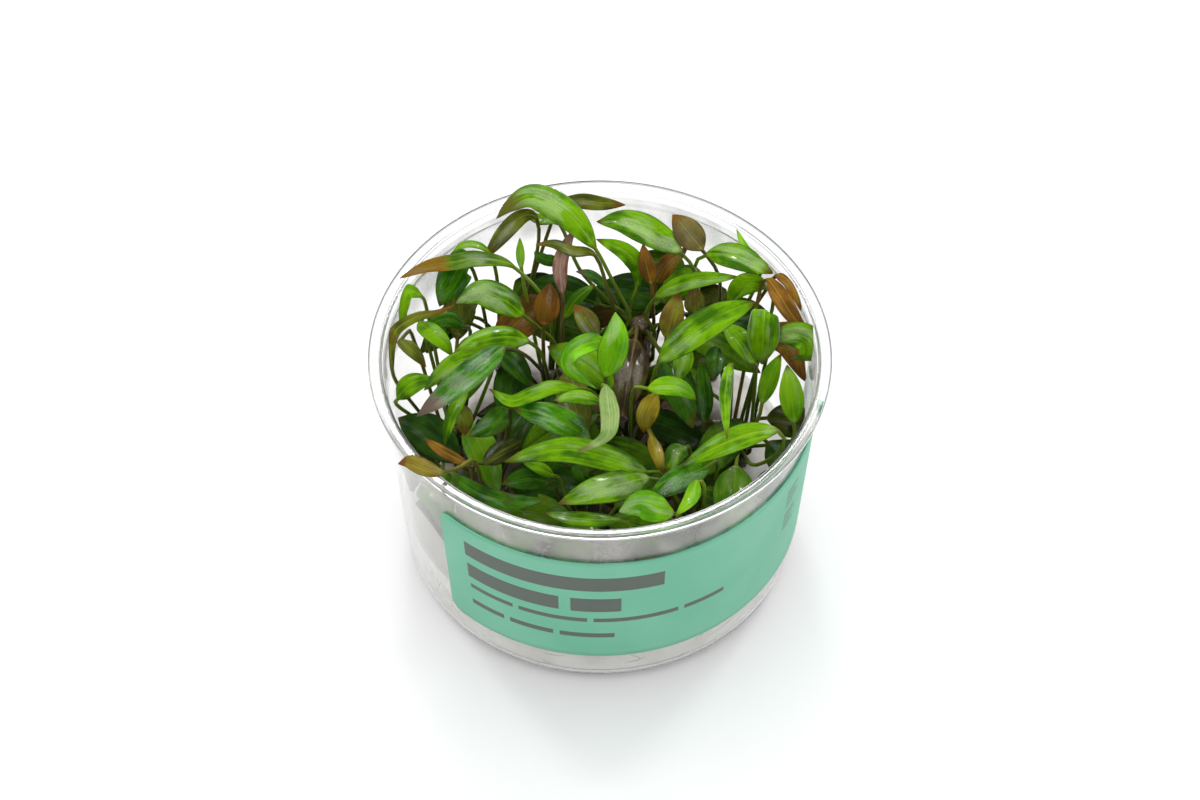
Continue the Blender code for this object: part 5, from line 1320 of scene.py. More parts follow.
class Blade:
    """A fine leaf along a course: a round stalk that opens into a thin blade with a rib and waved margins."""

    def __init__(self, course: Course, root: np.ndarray, seed: int, look: int) -> None:
        """Keeps what the leaf is drawn from.

        Args:
            course: its line and frames.
            root: the point inside the crown where its stalk begins.
            seed: a number that sets its waves and its pattern.
            look: its finish's place in the piece's list.
        """
        self.course = course
        self.root = root
        self.seed = seed
        self.look = look
        self.bend = BENDS.get(course.plan.name, Bend())

    def _line(self) -> tuple[np.ndarray, np.ndarray, float, float]:
        """The course with a sheath before it: a quadratic curve from the root that meets the foot smoothly."""
        course = self.course
        foot, ahead = course.line[0], unit(course.line[1] - course.line[0])
        reach = float(np.linalg.norm(foot - self.root))
        t = np.linspace(0, 1, GRAIN.sheath_points)[:-1, None]
        control = foot - ahead * reach * 0.5
        sheath = (1 - t) ** 2 * self.root + 2 * t * (1 - t) * control + t**2 * foot
        line = np.vstack((sheath, course.line))
        length = distances(line)
        return line, length, course.neck + length[len(sheath)], length[len(sheath)]

    def _section(self, share: np.ndarray, half: np.ndarray, places: np.ndarray) -> tuple[np.ndarray, np.ndarray]:
        """Each ring's points across and out: a circle on the stalk, and on the blade a thin bent sheet.

        The sheet's middle height is half the width times (gutter |t| - dome t^2), plus a sine wave towards
        the margins. Its upper side has a narrow groove and its lower side a keel, both bell curves.
        """
        count = GRAIN.across
        step = np.linspace(-1, 1, count)
        t = np.sin(np.sign(step) * np.abs(step) ** GRAIN.crowding_power * math.pi / 2)
        loop = np.concatenate((t, t[-2:0:-1]))
        side = np.concatenate((np.ones(count), -np.ones(count - 2)))
        side[[0, count - 1]] = 0
        x = half[:, None] * loop
        bend = self.bend
        fade = np.sin(np.clip(share, 0, 1) * math.pi)[:, None] ** GRAIN.fade_power
        middle = half[:, None] * (bend.gutter * np.abs(loop) - bend.dome * loop**2) * fade
        phase = self.seed * GRAIN.wave_turn + np.where(loop < 0, 0.0, GRAIN.other_side_turn)
        wave = np.sin(places[:, None] * 2 * math.pi / bend.wave_length + phase)
        middle += bend.wave * half[:, None] * np.abs(loop) ** GRAIN.wave_power * wave * fade
        taper = np.clip(1 + GRAIN.tip_share - share, GRAIN.tip_share, 1)[:, None]
        thick = (GRAIN.margin_thick + (GRAIN.rib_thick - GRAIN.margin_thick) * (1 - loop**2)) * taper
        groove = GRAIN.groove * np.exp(-(x / GRAIN.groove_width) ** 2) * taper
        keel = GRAIN.keel * np.exp(-(x / GRAIN.keel_width) ** 2) * taper
        sheet = middle + np.where(side > 0, thick - groove, np.where(side < 0, -thick - keel, 0.0))
        round_side = side * half[:, None] * np.sqrt(np.clip(1 - loop**2, 0, 1))
        open_share = np.clip(share / GRAIN.open_by, 0, 1)[:, None]
        blend = open_share**2 * (3 - 2 * open_share)
        return x, round_side * (1 - blend) + sheet * blend

    def shell(self) -> Shell:
        """Builds the leaf.

        Returns:
            The closed shell with its pattern coordinates.
        """
        line, length, neck, foot = self._line()
        plan = self.course.plan
        total = length[-1]
        stalk = np.linspace(0, neck, GRAIN.stalk_rings)[:-1]
        blade = neck + (total - neck) * np.linspace(0, 1, GRAIN.blade_rings + 1)[:-1]
        places = np.concatenate((stalk, blade))
        centres = sampled(places, length, line)
        inside = VESSEL.keep_inside(centres, LEAF.clear_wall)
        centres = np.where((places > foot)[:, None], inside, centres)
        tangents = unit(np.gradient(centres, axis=0))
        stations = np.append(self.course.places, self.course.length[-1]) + foot
        out = sampled(places, stations, self.course.out)
        out = unit(out - tangents * np.einsum("ij,ij->i", out, tangents)[:, None])
        across = np.cross(out, tangents)
        share = np.clip((places - neck) / (total - neck), 0, 1)
        end = np.sqrt(np.clip(1 - share**GRAIN.end_power, 0, 1))
        sheath = 1 + GRAIN.sheath * np.exp(-(places / GRAIN.sheath_length) ** 2)
        stem = LEAF.stalk_half * (1 - LEAF.stalk_taper * share) * end * sheath
        swell = GRAIN.young_swell if plan.name.startswith("young") else GRAIN.large_swell
        slim = 1 - self.bend.slim * share
        half = np.hypot(stem, plan.width * swell * slim / 2 * lance(share))
        x, y = self._section(share, half, places)
        rings = centres[:, None] + across[:, None] * x[..., None] + out[:, None] * y[..., None]
        columns = rings.shape[1]
        held = VESSEL.keep_inside(rings.reshape(-1, 3), LEAF.clear_wall_edge).reshape(rings.shape)
        rings = np.where((places > foot)[:, None, None], held, rings)
        tip = VESSEL.keep_inside(line[-1:], LEAF.clear_wall)[0]
        shell = tube(rings, centres[0], tip)
        t = np.where(half[:, None] > 0, x / np.maximum(half[:, None], 1e-6), 0)
        upper = np.zeros(columns)
        upper[: GRAIN.across] = 1
        upper[[0, GRAIN.across - 1]] = 0.5
        shape = x.shape
        share_grid = np.broadcast_to(share[:, None], shape)
        place = np.stack((share_grid, t, np.broadcast_to(upper, shape)), -1).reshape(-1, 3)
        along = np.broadcast_to((places - neck)[:, None], shape)
        pattern = self.seed * GRAIN.pattern_step
        run = np.stack((along, x, np.full(shape, pattern)), -1).reshape(-1, 3)
        shell.place = np.vstack((place, (0, 0, 1), (1, 0, 1)))
        shell.run = np.vstack((run, (-neck, 0, pattern), (total - neck, 0, pattern)))
        shell.look = self.look
        return shell


def leaf_feet(plan: LeafPlan, crown: CrownPlan) -> Iterator[Course]:
    """Each way in which a large leaf may give way, in the order in which its solid tried them."""
    reach = crown.radius + LEAF.stalk_half + LEAF.clear_pieces + LEAF.foot_clear
    for tier in LEAF.tiers:
        for towards in LEAF.towards_eye:
            drawn = BOARD.drawn(plan.course, towards)
            aim = math.atan2(drawn[0, 1] - crown.y, drawn[0, 0] - crown.x)
            for turn in LEAF.turns:
                angle = aim + math.radians(turn)
                beside = (crown.x + reach * math.cos(angle), crown.y + reach * math.sin(angle))
                yield Course(plan, np.array((*beside, crown.top - LEAF.foot_drop - tier)), drawn)


class LargeLeaf:
    """A leaf that is a node of its own."""

    def __init__(self, plan: LeafPlan, crown: CrownPlan, seed: int) -> None:
        """Keeps the plans and the seed."""
        self.plan = plan
        self.crown = crown
        self.seed = seed

    def build(self, looks: "Looks") -> bpy.types.Object:
        """Builds the fine leaf where its solid lies.

        Args:
            looks: the materials made so far.

        Returns:
            The piece, which replaces the node.
        """
        corners = node_corners(self.plan.name)
        course = next((c for c in leaf_feet(self.plan, self.crown) if c.lies_on(corners)), None)
        if course is None:
            raise ValueError(f"no course of {self.plan.name} lies on its node")
        shell = Blade(course, self.crown.root(course.foot, *GRAIN.large_root), self.seed, 0).shell()
        return make_piece(f"{self.plan.name}_blade", [shell], [looks.of(self.plan)],
                          self.plan.name)


def young_plan(index: int) -> tuple[Point, float]:
    """A young leaf's place, on a sunflower pattern across the cup with its height, and its width."""
    share = math.sqrt((index + 0.5) / YOUNG.count)
    x = YOUNG.field * share * math.cos(index * YOUNG.golden)
    y = YOUNG.field * share * math.sin(index * YOUNG.golden)
    high = YOUNG.high - YOUNG.middle_drop * (1 - share) - YOUNG.back_drop * max(y, 0)
    height = YOUNG.low + (high - YOUNG.low) * math.modf(index * YOUNG.height_share)[0]
    return (x, y, height), YOUNG.narrow + (YOUNG.wide - YOUNG.narrow) * math.modf(index * YOUNG.width_share)[0]


def young_courses(crown: CrownPlan, place: Point) -> Iterator[np.ndarray]:
    """A young leaf's courses, the straightest first: up beside its crown, over its place, then drooping."""
    away = math.hypot(place[0] - crown.x, place[1] - crown.y)
    aim = math.atan2(place[1] - crown.y, place[0] - crown.x)
    neck = max(away - YOUNG.before, YOUNG.neck[0] * away)
    base = np.array((crown.x, crown.y, crown.top))
    for lift in YOUNG.lifts:
        rise = place[2] + lift - crown.top
        reach = np.array((YOUNG.knee[0] * neck, neck, away + YOUNG.crest, neck + YOUNG.before + YOUNG.beyond))
        climb = np.array((YOUNG.knee[1] * rise, YOUNG.neck[1] * rise, rise, rise - YOUNG.droop))
        for turn in YOUNG.turns:
            yield base + round_axis(reach, aim + turn, climb)


def near_crowns(place: Point) -> list[CrownPlan]:
    """The crowns that a young leaf may grow from, the nearest first."""
    near = sorted(CROWNS, key=lambda crown: math.hypot(place[0] - crown.x, place[1] - crown.y))
    return near[: YOUNG.crowns_tried]


@dataclass(frozen=True)
class StemGrain:
    """How finely a crown is drawn, with the waves round it and up it that make its flutes and ring scars."""

    rows: int = 44
    sides: int = 56
    body: float = 0.96
    flutes: tuple[tuple[int, float], tuple[int, float]] = ((7, 0.05), (13, 0.035))
    flute_share: float = 0.7
    flute_twist: float = 0.25
    scar: float = 0.05
    scar_pitch: float = 2.1
    scar_sway: float = 1.2
    scar_power: int = 6
    seed_step: float = 0.7


STEM = StemGrain()
FUSED_SEED = 100
FUSED_SEED_STEP = 3


class Plantlet:
    """A crown with the small and young leaves that are fused to it."""

    def __init__(self, crown: CrownPlan) -> None:
        """Keeps the crown's plan."""
        self.crown = crown

    def _outline(self) -> np.ndarray:
        """Radius and height of the solid's levels, from the gel to the dome."""
        crown = self.crown
        foot = VESSEL.gel_top + VESSEL.gap
        low, middle, high = np.linspace(foot + CROWN.collar_rise, crown.top - CROWN.dome_drop, 3)
        shoulder, crest = (crown.radius * share for share in CROWN.dome_shares)
        return np.array(((crown.radius * CROWN.collar_flare, foot), (crown.radius, low), (crown.radius, middle),
                         (shoulder, high), (crest, crown.top)))

    def _feet(self) -> list[np.ndarray]:
        """Where a young leaf may leave the crown: just off each side face, level with its upper edge."""
        outline = self._outline()
        feet = []
        for side in range(CROWN.sides):
            angle = (side + 0.5) * 2 * math.pi / CROWN.sides
            for band in CROWN.sprout_bands:
                radius = outline[band : band + 2, 0].mean() * math.cos(math.pi / CROWN.sides)
                reach = radius + LEAF.stalk_half + CROWN.sprout_gap
                height = outline[band + 1, 1] + CROWN.sprout_lift
                feet.append(np.array((self.crown.x + reach * math.cos(angle),
                                      self.crown.y + reach * math.sin(angle), height)))
        return feet

    def _find(self, plan: LeafPlan, courses: Iterator[np.ndarray], corners: np.ndarray) -> Optional[Course]:
        """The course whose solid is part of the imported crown, or None."""
        for drawn in courses:
            tip = VESSEL.keep_inside(drawn[-1:], LEAF.clear_wall)
            if np.linalg.norm(corners - tip, axis=1).min() > LEAF.tip_within:
                continue
            for foot in self._feet():
                course = Course(plan, foot, drawn, LEAF.rings_small)
                if course.lies_on(corners):
                    return course
        return None

    def _stem(self) -> Shell:
        """The crown: a turned stem whose radius has upright flutes, ring scars and a ragged collar."""
        outline = self._outline()
        foot, top = outline[0, 1], outline[-1, 1] + CROWN.dome_tip
        height = foot + (top - foot) * np.linspace(0, 1, STEM.rows + 1)[:-1]
        radius = np.interp(height, np.append(outline[:, 1], top), np.append(outline[:, 0], 0.0))
        radius *= math.cos(math.pi / CROWN.sides) ** 0.5
        angle = np.arange(STEM.sides) * 2 * math.pi / STEM.sides
        seed = self.crown.x * STEM.seed_step + self.crown.y
        up = height[:, None]
        (few, deep), (many, shallow) = STEM.flutes
        flutes = deep * np.sin(angle * few + seed + up * STEM.flute_twist) + shallow * np.sin(angle * many - seed)
        scars = STEM.scar * np.sin(up * STEM.scar_pitch + STEM.scar_sway * np.sin(angle + seed)) ** STEM.scar_power
        grid = radius[:, None] * (STEM.body + flutes * STEM.flute_share + scars)
        middle = self.crown.middle()
        rings = round_axis(grid, angle, up) + middle
        return tube(rings, middle + (0, 0, foot), middle + (0, 0, top))

    def _wanted(self) -> Iterator[tuple[LeafPlan, Iterator[np.ndarray]]]:
        """Each leaf that may be fused to the crown, with its courses: the small ones, then the young ones."""
        for plan in SMALL:
            if plan.crown == self.crown.name:
                yield plan, (BOARD.drawn(plan.course, towards) for towards in LEAF.towards_eye)
        for index in range(YOUNG.count):
            place, width = young_plan(index)
            if self.crown in near_crowns(place):
                tone = YOUNG.tones[index % len(YOUNG.tones)]
                plan = LeafPlan(f"young_{index}", self.crown.name, width, (), lean=YOUNG.lean, tone=tone)
                yield plan, young_courses(self.crown, place)

    def build(self, looks: "Looks") -> bpy.types.Object:
        """Builds the crown and its leaves as one piece, which replaces the crown's node."""
        corners = node_corners(self.crown.name)
        shells = [self._stem()]
        finishes = [looks.bark]
        for number, (plan, courses) in enumerate(self._wanted()):
            course = self._find(plan, courses, corners)
            if course is None:
                continue
            material = looks.of(plan)
            if material not in finishes:
                finishes.append(material)
            root = self.crown.root(course.foot, *GRAIN.fused_root)
            seed = FUSED_SEED + number + int(abs(self.crown.x) * FUSED_SEED_STEP)
            shells.append(Blade(course, root, seed, finishes.index(material)).shell())
        LOG.info("%s has %d leaves", self.crown.name, len(shells) - 1)
        return make_piece(f"{self.crown.name}_plantlet", shells, finishes, self.crown.name)


WET = replace(GREEN, name="wet green leaf", wet=1.0, sparkle=0.5)
BRIGHT = replace(GREEN, name="bright green leaf", deep=(0.085, 0.32, 0.004), bright=(0.22, 0.60, 0.008), wet=0.9,
                 tip_from=1.1)
GLITTER = replace(GREEN, name="glittering leaf", deep=(0.018, 0.110, 0.002), bright=(0.09, 0.340, 0.004),
                  painted_sheen=(0.30, 0.48, 0.24), wet=0.9,
                  sparkle=1.0, margin=(0.14, 0.13, 0.09), margin_share=0.8)
GREY_EDGED = replace(GREEN, name="grey-edged leaf", margin=(0.26, 0.26, 0.20), margin_share=0.95, wet=0.8)
BROWN_TIPPED = replace(GREEN, name="brown-tipped leaf", deep=(0.050, 0.130, 0.006), bright=(0.14, 0.27, 0.02),
                       tip=(0.24, 0.14, 0.012), tip_from=0.62, painted_sheen=(0.36, 0.42, 0.28), wet=0.8)
OLIVE_TIPPED = replace(GREEN, name="olive-tipped leaf", tip=(0.13, 0.14, 0.02), tip_from=0.80, wet=0.9,
                       margin=(0.17, 0.18, 0.11), margin_share=0.8)
PALE_BACK = replace(FRESH, name="pale leaf back", deep=(0.14, 0.26, 0.05), bright=(0.29, 0.42, 0.13),
                    rib=(0.50, 0.56, 0.28), tip=(0.16, 0.12, 0.05), tip_from=0.95, ribs=0.5, wet=0.3)
RIBBED = replace(FRESH, name="ribbed yellow-green leaf", ribs=0.35, streaks=0.6, wet=0.7)
STRIPED = replace(DARK, name="striped dark leaf", deep=(0.020, 0.026, 0.004), bright=(0.07, 0.075, 0.012),
                  rib=(0.30, 0.36, 0.03), streaks=1.0, wet=0.8)
YELLOWING = replace(GREEN, name="yellowing leaf", rib=(0.42, 0.55, 0.03), streaks=0.9, deep=(0.05, 0.18, 0.003))
PLAIN_BROWN = replace(BROWN, name="brown leaf", deep=(0.10, 0.040, 0.006), bright=(0.22, 0.095, 0.012),
                      rib=(0.30, 0.16, 0.02), blotch_share=0.15)
HALF_BROWN = replace(BROWN, name="half brown leaf", deep=(0.20, 0.12, 0.03), bright=(0.34, 0.30, 0.03),
                     rib=(0.50, 0.52, 0.05), margin=(0.22, 0.09, 0.06), margin_share=1.0, blotch_share=0.4)
ROUND_OLIVE = replace(OLIVE, name="round olive leaf", deep=(0.12, 0.09, 0.03), bright=(0.24, 0.20, 0.06),
                      rib=(0.42, 0.46, 0.16), under=(0.24, 0.24, 0.12), blotch_share=0.3, wet=0.2)
OLD_SHEATH = replace(BROWN, name="old brown sheath", deep=(0.035, 0.018, 0.007), bright=(0.13, 0.080, 0.035),
                     rib=(0.32, 0.25, 0.14), streaks=0.9, painted_sheen=(0.42, 0.36, 0.26), wet=0.8)
RIM_TIP = replace(OLIVE, name="brown-edged leaf", deep=(0.20, 0.13, 0.015), bright=(0.36, 0.30, 0.04),
                  rib=(0.50, 0.46, 0.08), margin=(0.16, 0.055, 0.012), margin_share=1.0, tip_from=0.80,
                  tip=(0.22, 0.07, 0.010))

SPECIAL_FINISHES: dict[str, LeafFinish] = {
    "leaf_top_arch": OLIVE_TIPPED,
    "leaf_back_green": WET,
    "leaf_back_right_green": WET,
    "leaf_left_broad": WET,
    "leaf_middle_left": GLITTER,
    "leaf_middle_upright": BRIGHT,
    "leaf_front_triangle": BRIGHT,
    "leaf_middle_folded": BRIGHT,
    "leaf_front_dark": WET,
    "leaf_front_wet": GLITTER,
    "leaf_left_wet": GLITTER,
    "leaf_left_long": WET,
    "leaf_left_tip_over_rim": BROWN_TIPPED,
    "leaf_right_hanging": GREY_EDGED,
    "leaf_right_vertical": GREY_EDGED,
    "leaf_middle_pale": PALE_BACK,
    "leaf_right_pale": RIBBED,
    "leaf_right_fresh": RIBBED,
    "leaf_right_curled": WET,
    "leaf_front_right_long": YELLOWING,
    "leaf_front_left_dark": STRIPED,
    "leaf_left_triangle": PLAIN_BROWN,
    "leaf_middle_brown": HALF_BROWN,
    "leaf_back_brown": ROUND_OLIVE,
    "leaf_rim_left_tip": RIM_TIP,
    "young_16": OLD_SHEATH,
}


class Looks:
    """The materials of the plants, each made once."""

    def __init__(self) -> None:
        """Makes the bark and an empty store of leaf materials."""
        self.bark = BarkFinish().material()
        self.made: dict[str, bpy.types.Material] = {}

    def of(self, plan: LeafPlan) -> bpy.types.Material:
        """The material of a leaf: its own finish, or else that of its tone."""
        finish = SPECIAL_FINISHES.get(plan.name, plan.tone.value[1])
        if finish.name not in self.made:
            self.made[finish.name] = finish.material()
        return self.made[finish.name]


# Cup, gel, roots and label


def arc(centre: tuple[float, float], radius: float, start: float, end: float, steps: int) -> np.ndarray:
    """Points of a circle's arc in the turning plane, by angles in degrees."""
    angle = np.radians(np.linspace(start, end, steps))
    return np.stack((centre[0] + radius * np.cos(angle), centre[1] + radius * np.sin(angle)), -1)


@dataclass
class Cup:
    """The clear tub: flange, ledge, tapered wall, rounded foot and recessed underside."""

    sides: int = 256
    edge: float = 0.30
    bead: float = 0.22
    bead_drops: tuple[float, ...] = (2.2, 4.4)
    fillet: float = 0.8
    ring_round: float = 0.4
    ring_inset: float = 0.3
    lip: float = 0.25
    base_radii: tuple[float, float] = (12, 24)
    inner_drop: float = 6.0
    ledge_draft: float = 0.05

    def _bump(self, height: float, outward: float) -> np.ndarray:
        """A shallow bead on the inner wall: half a sine wave of radius over its height."""
        t = np.linspace(0, 1, 9)
        level = height - 0.5 + t
        return np.stack((VESSEL.inner_radius(level) - outward * np.sin(t * math.pi), level), -1)[::-1]

    def profile(self) -> np.ndarray:
        """Radius and height round the outline, from the middle of the underside to the middle of the floor."""
        v = VESSEL
        foot_x = v.wall_foot_radius - v.foot_round
        low = v.rim_top - v.rim_thick
        edge = self.edge
        near, far = self.base_radii
        under, floor = v.foot_recess, v.foot_recess + v.wall
        height = np.linspace(v.foot_round, low - self.fillet, 24)[1:]
        wall = np.stack((v.outer_radius(height), height), -1)
        neck = arc((float(v.outer_radius(low)) + self.fillet, low - self.fillet), self.fillet, 180, 90, 6)
        inner_height = np.linspace(low - self.inner_drop, v.foot_round, 20)[:-1]
        inner = np.stack((v.inner_radius(inner_height), inner_height), -1)
        parts = [
            np.array(((0, under), (near, under), (far, under), (v.foot_ring_in - self.ring_inset, under))),
            arc((v.foot_ring_in + self.ring_round, self.ring_round), self.ring_round, 200, 270, 5),
            arc((foot_x, v.foot_round), v.foot_round, -90, 0, 16),
            wall,
            neck,
            arc((v.rim_radius - edge, low + edge), edge, -90, 0, 6),
            arc((v.rim_radius - edge, v.rim_top - edge), edge, 0, 90, 6),
            arc((v.ledge_radius + edge, v.rim_top - edge), edge, 90, 180, 6),
            np.array(((v.ledge_radius - self.ledge_draft, v.rim_top - v.ledge_drop),)),
            arc((v.wall_top_radius + self.lip, v.rim_top - v.ledge_drop - self.lip), self.lip, 90, 180, 4),
            *[self._bump(v.rim_top - drop, self.bead) for drop in self.bead_drops],
            inner,
            arc((foot_x, v.foot_round), v.foot_round - v.wall, 0, -90, 14),
            np.array(((far, floor), (near, floor), (0, floor))),
        ]
        return np.vstack(parts)

    def build(self) -> bpy.types.Object:
        """Builds the cup, which replaces its node."""
        shell = turned(self.profile(), self.sides)
        return make_piece("cup_clear", [shell], [ClearFinish().material()], "cup")


@dataclass
class Gel:
    """The rooting gel: it fills the foot, creeps up the wall and has shallow dips in its top."""

    sides: int = 192
    rings: int = 60
    creep: float = 1.3
    creep_rise: float = 0.2
    creep_reach: float = 1.5
    base_radii: Range = (12, 24)
    foot_lift: float = 0.2
    swell: float = 0.28
    swell_below: float = 0.6
    swell_fade: float = 0.5
    waves: Point = (0.31, 0.27, 0.19)
    wave_turns: Point = (1.0, 0.0, 2.0)

    def build(self) -> bpy.types.Object:
        """Builds the gel: a turned body whose top is lowered by three crossed sine waves."""
        v = VESSEL
        foot_x = v.wall_foot_radius - v.foot_round
        low = v.foot_recess + v.wall + v.gap
        side = float(v.inner_radius(v.gel_top)) - v.gap
        inward = np.linspace(side - self.creep, 0, self.rings)
        rise = self.creep_rise * np.exp(-(side - self.creep - inward) / self.creep_reach)
        top = np.stack((inward, v.gel_top + rise), -1)
        wall_height = np.linspace(v.foot_round + self.foot_lift, v.gel_top + v.gel_rise, 12)[1:]
        wall = np.stack((v.inner_radius(wall_height) - v.gap, wall_height), -1)
        profile = np.vstack((
            ((0, low), *((radius, low) for radius in self.base_radii)),
            arc((foot_x, v.foot_round + self.foot_lift), v.foot_round - v.wall - v.gap, -89, 0, 12),
            wall,
            top,
        ))
        shell = turned(profile, self.sides)
        x, y, z = shell.verts.T
        near_top = np.clip((z - v.gel_top + self.swell_below) / self.swell_fade, 0, 1)
        on_top = near_top * (np.hypot(x, y) < side - self.creep)
        first, second, third = (np.sin(where * wave + turn)
                                for where, wave, turn in zip((x, y, x + y), self.waves, self.wave_turns))
        dip = 0.5 + 0.5 * first * second * third
        shell.verts[:, 2] = z - on_top * dip * self.swell
        return make_piece("gel_body", [shell], [GelFinish().material()], "gel")


@dataclass
class Roots:
    """Fine roots that wander down the gel's side, partly sunk in it. Pairs are a least value and its random range."""

    count: int = 74
    points: int = 40
    half: float = 0.15
    sides: int = 6
    seed: int = 11
    drift: float = 1.1
    wobble: float = 0.10
    wobble_waves: float = 9
    phase_range: float = 6
    start_drop: Range = (1.2, 4)
    end_height: Range = (3.0, 6)
    rise: float = 0.5
    rise_waves: float = 13
    sink: Range = (0.02, 0.15)
    sink_waves: float = 4
    sink_phase: float = 9
    end_thin: float = 0.5
    upright: Point = (0.3, 0.5, 0.81)

    def _paths(self) -> np.ndarray:
        """Middles of the roots: a start angle plus sine drifts, falling along the gel's side wall."""
        rng = np.random.default_rng(self.seed)
        v = VESSEL
        t = np.linspace(0, 1, self.points)[None, :]
        start, drift, wobble, phase, top, bottom = (rng.random((self.count, 1)) for _ in range(6))
        sway = self.wobble * wobble * np.sin(t * self.wobble_waves + phase * self.phase_range)
        angle = start * 2 * math.pi + (drift - 0.5) * self.drift * t + sway
        high = v.gel_top - self.start_drop[0] - self.start_drop[1] * top
        low = self.end_height[0] + self.end_height[1] * bottom
        height = high * (1 - t) + low * t
        height = height + self.rise * np.sin(t * self.rise_waves + phase * self.phase_range)
        sink = self.sink[0] + self.sink[1] * np.abs(np.sin(t * self.sink_waves + phase * self.sink_phase))
        radius = np.where(height > v.foot_round, v.inner_radius(height), self._foot_radius(height)) - v.gap - sink
        return round_axis(radius, angle, height)

    @staticmethod
    def _foot_radius(height: np.ndarray) -> np.ndarray:
        """The cup's inner radius in its rounded foot: a circle's height solved for its reach."""
        v = VESSEL
        drop = np.clip(v.foot_round - height, 0, v.foot_round - v.wall)
        return v.wall_foot_radius - v.foot_round + np.sqrt((v.foot_round - v.wall) ** 2 - drop**2)

    def build(self) -> bpy.types.Object:
        """Builds the roots as thin tubes."""
        shells = []
        turn = np.arange(self.sides) * 2 * math.pi / self.sides
        for path in self._paths():
            along = unit(np.gradient(path, axis=0))
            out = unit(np.cross(along, np.array(self.upright)))
            side = np.cross(along, out)
            half = self.half * (1 - self.end_thin * np.linspace(0, 1, self.points))[:, None, None]
            spin = np.cos(turn)[None, :, None] * out[:, None] + np.sin(turn)[None, :, None] * side[:, None]
            shells.append(tube(path[:, None] + half * spin, path[0], path[-1]))
        return make_piece("roots", shells, [RootFinish().material()])


@dataclass
class Label:
    """The wrap label: a thin band with rounded corners, printed with plain bars."""

    low: float = 11.8
    high: float = 49.0
    start: float = -46.0
    end: float = 100.0
    thick: float = 0.25
    corner: float = 3.0
    columns: int = 180
    rows: int = 24
    off_print: float = -20.0
    word_gap: float = 1.1
    least_gap_height: float = 1.2
    lines: tuple[tuple[float, float, float, tuple[float, ...]], ...] = (
        (40.8, 5.2, 6.3, (44.0,)),
        (32.6, 5.2, 6.5, (21.4, 10.8)),
        (26.6, 1.5, 6.8, (10.6, 15.2, 18.6, 9.8)),
        (20.4, 1.7, 6.8, (8.2, 10.0, 12.0)),
    )
    fine_start: float = 84.0
    fine_thick: float = 0.7
    fine_lines: tuple[Range, ...] = ((42.5, 5.0), (40.8, 4.0), (39.1, 5.4), (37.4, 3.2), (34.2, 4.6), (32.5, 5.2),
                                     (30.8, 3.6), (29.1, 4.8))

    def bars(self) -> tuple[Bar, ...]:
        """The plain bars that stand in for lettering: the large lines from the top, then a column of fine ones."""
        made = []
        for height, thick, start, lengths in self.lines:
            for length in lengths:
                made.append(Bar(start, length, height, thick))
                start += length + self.word_gap * max(thick, self.least_gap_height) ** 0.5
        made += [Bar(self.fine_start, length, height, self.fine_thick) for height, length in self.fine_lines]
        return tuple(made)

    def build(self) -> bpy.types.Object:
        """Builds the label: angle and height run over a grid whose columns shrink in the rounded corners."""
        middle = float(VESSEL.outer_radius((self.low + self.high) / 2))
        width = math.radians(self.end - self.start) * middle
        ease = 0.5 - 0.5 * np.cos(np.linspace(0, math.pi, self.columns))
        along = ease * width
        from_end = np.minimum(along, width - along)
        inset = np.where(from_end < self.corner,
                         self.corner - np.sqrt(np.clip(self.corner**2 - (self.corner - from_end) ** 2, 0, None)), 0)
        level = np.linspace(0, 1, self.rows)
        up = self.low + inset[:, None] + level * (self.high - self.low - 2 * inset[:, None])
        angle = np.radians(self.start - 90) + along[:, None] / middle + np.zeros_like(up)
        front, back = (round_axis(VESSEL.outer_radius(up) + lift, angle, up)
                       for lift in (VESSEL.gap + self.thick, VESSEL.gap))
        rings = np.concatenate((front, back[:, ::-1]), axis=1)
        shell = tube(rings, rings[0].mean(axis=0), rings[-1].mean(axis=0))
        flat = np.stack((np.broadcast_to(along[:, None], up.shape), up, np.zeros_like(up)), -1)
        blank = np.array((self.off_print, 0.0, 0.0))
        plain = np.broadcast_to(blank, flat.shape)
        shell.run = np.vstack((np.concatenate((flat, plain), axis=1).reshape(-1, 3), blank, blank))
        paper = LabelFinish(bars=self.bars()).material()
        return make_piece("label_wrap", [shell], [paper], "label")


# Studio


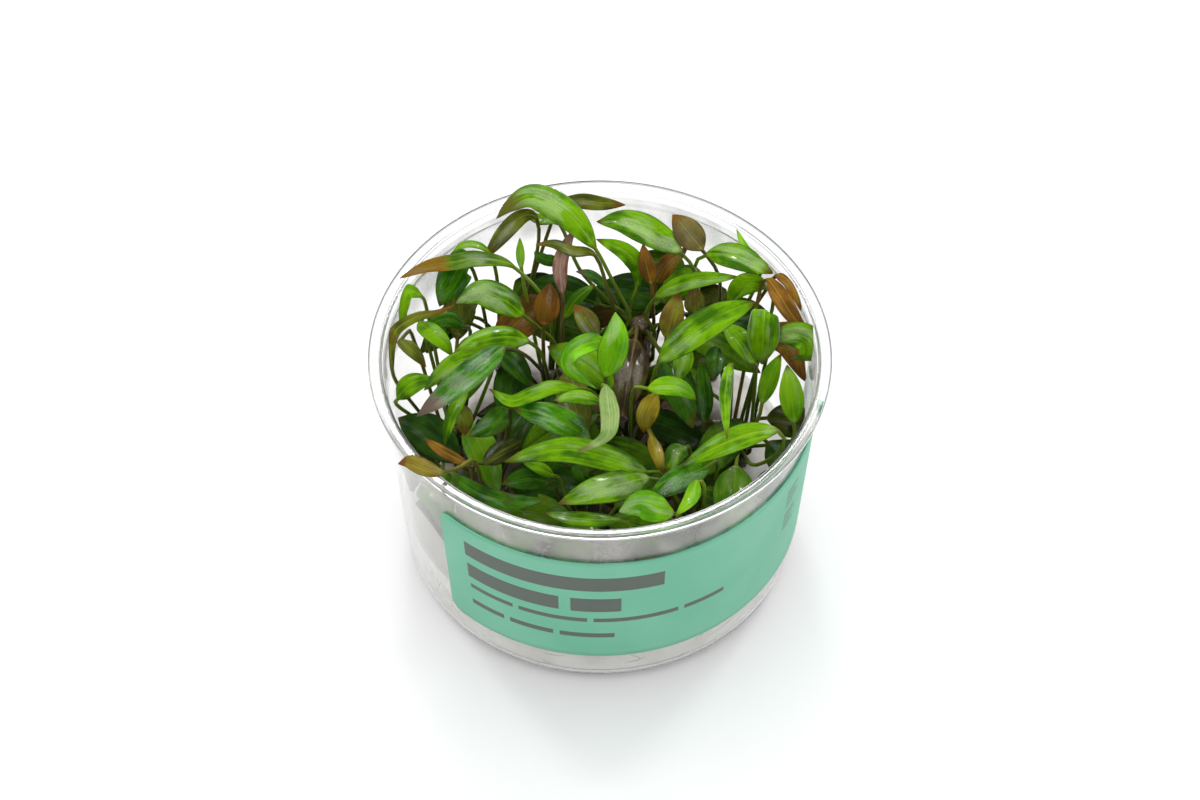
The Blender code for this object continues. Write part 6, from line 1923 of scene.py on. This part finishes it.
@dataclass
class Studio:
    """The pale table, the soft light and the camera."""

    camera_reach: float = 0.800
    camera_tilt: float = math.radians(51.3)
    camera_aim: Point = (0.0, 0.0, 0.045)
    lens: float = 109.6
    sensor: float = 36.0
    sky_low: float = 0.06
    sky_high: float = 1.20
    key_power: float = 1.5
    key_size: float = 0.16
    sky_heights: Range = (0.05, 0.60)
    table_reach: float = 6.0
    clip_start: float = 0.01
    key_places: tuple[Point, ...] = ((-0.52, 0.52, 0.80), (-0.05, 0.64, 0.84), (0.46, 0.50, 0.86))

    def build(self) -> None:
        """Makes the floor, the world's light, the lamps and the camera."""
        self._floor()
        self._light()
        self._camera()
        scene = bpy.context.scene
        scene.view_settings.view_transform = "Standard"

    def _floor(self) -> None:
        """A wide flat sheet that the cup stands on."""
        reach = self.table_reach
        mesh = bpy.data.meshes.new("table")
        mesh.from_pydata([(-reach, -reach, 0), (reach, -reach, 0), (reach, reach, 0), (-reach, reach, 0)], [],
                         [(0, 1, 2, 3)])
        mesh.materials.append(FloorFinish().material())
        placed("table", mesh)

    def _light(self) -> None:
        """A sky that is white overhead and dim at the horizon, so that clear edges read, and softboxes behind."""
        bench = Bench(bpy.data.worlds.new("studio"))
        _, _, height = bench.split(bench.node("ShaderNodeTexCoord", out="Generated"))
        strength = height.ease(*self.sky_heights) * (self.sky_high - self.sky_low) + self.sky_low
        sky = bench.node("ShaderNodeBackground", sockets={"Color": (1.0, 1.0, 1.0), "Strength": strength})
        bench.node("ShaderNodeOutputWorld", sockets={"Surface": sky})
        bpy.context.scene.world = bench.owner
        for place in self.key_places:
            lamp = bpy.data.lights.new("softbox", "AREA")
            lamp.shape = "SQUARE"
            lamp.size = self.key_size
            lamp.energy = self.key_power
            self._aim(placed("softbox", lamp), place)

    def _camera(self) -> None:
        """A long lens that looks down into the cup."""
        lens = bpy.data.cameras.new("camera")
        lens.lens = self.lens
        lens.sensor_width = self.sensor
        lens.clip_start = self.clip_start
        camera = placed("camera", lens)
        to_camera = Vector((0, -math.cos(self.camera_tilt), math.sin(self.camera_tilt)))
        self._aim(camera, Vector(self.camera_aim) + to_camera * self.camera_reach)
        bpy.context.scene.camera = camera

    def _aim(self, made: bpy.types.Object, place: Union[Point, Vector]) -> None:
        """Puts a lamp or the camera at a place, facing the middle of the cup."""
        made.location = place
        made.rotation_euler = (Vector(self.camera_aim) - made.location).to_track_quat("-Z", "Y").to_euler()


def main() -> None:
    """Builds every piece."""
    logging.basicConfig(level=logging.INFO, format="%(message)s")
    Studio().build()
    looks = Looks()
    crowns = {crown.name: crown for crown in CROWNS}
    pieces = [part.build() for part in (Cup(), Gel(), Roots(), Label())]
    pieces += [LargeLeaf(plan, crowns[plan.crown], seed).build(looks) for seed, plan in enumerate(LARGE)]
    pieces += [Plantlet(crown).build(looks) for crown in CROWNS]
    for piece in pieces:
        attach(piece, "root")
        LOG.info("%s: %d faces", piece.name, len(piece.data.polygons))


if __name__ == "__main__":
    main()
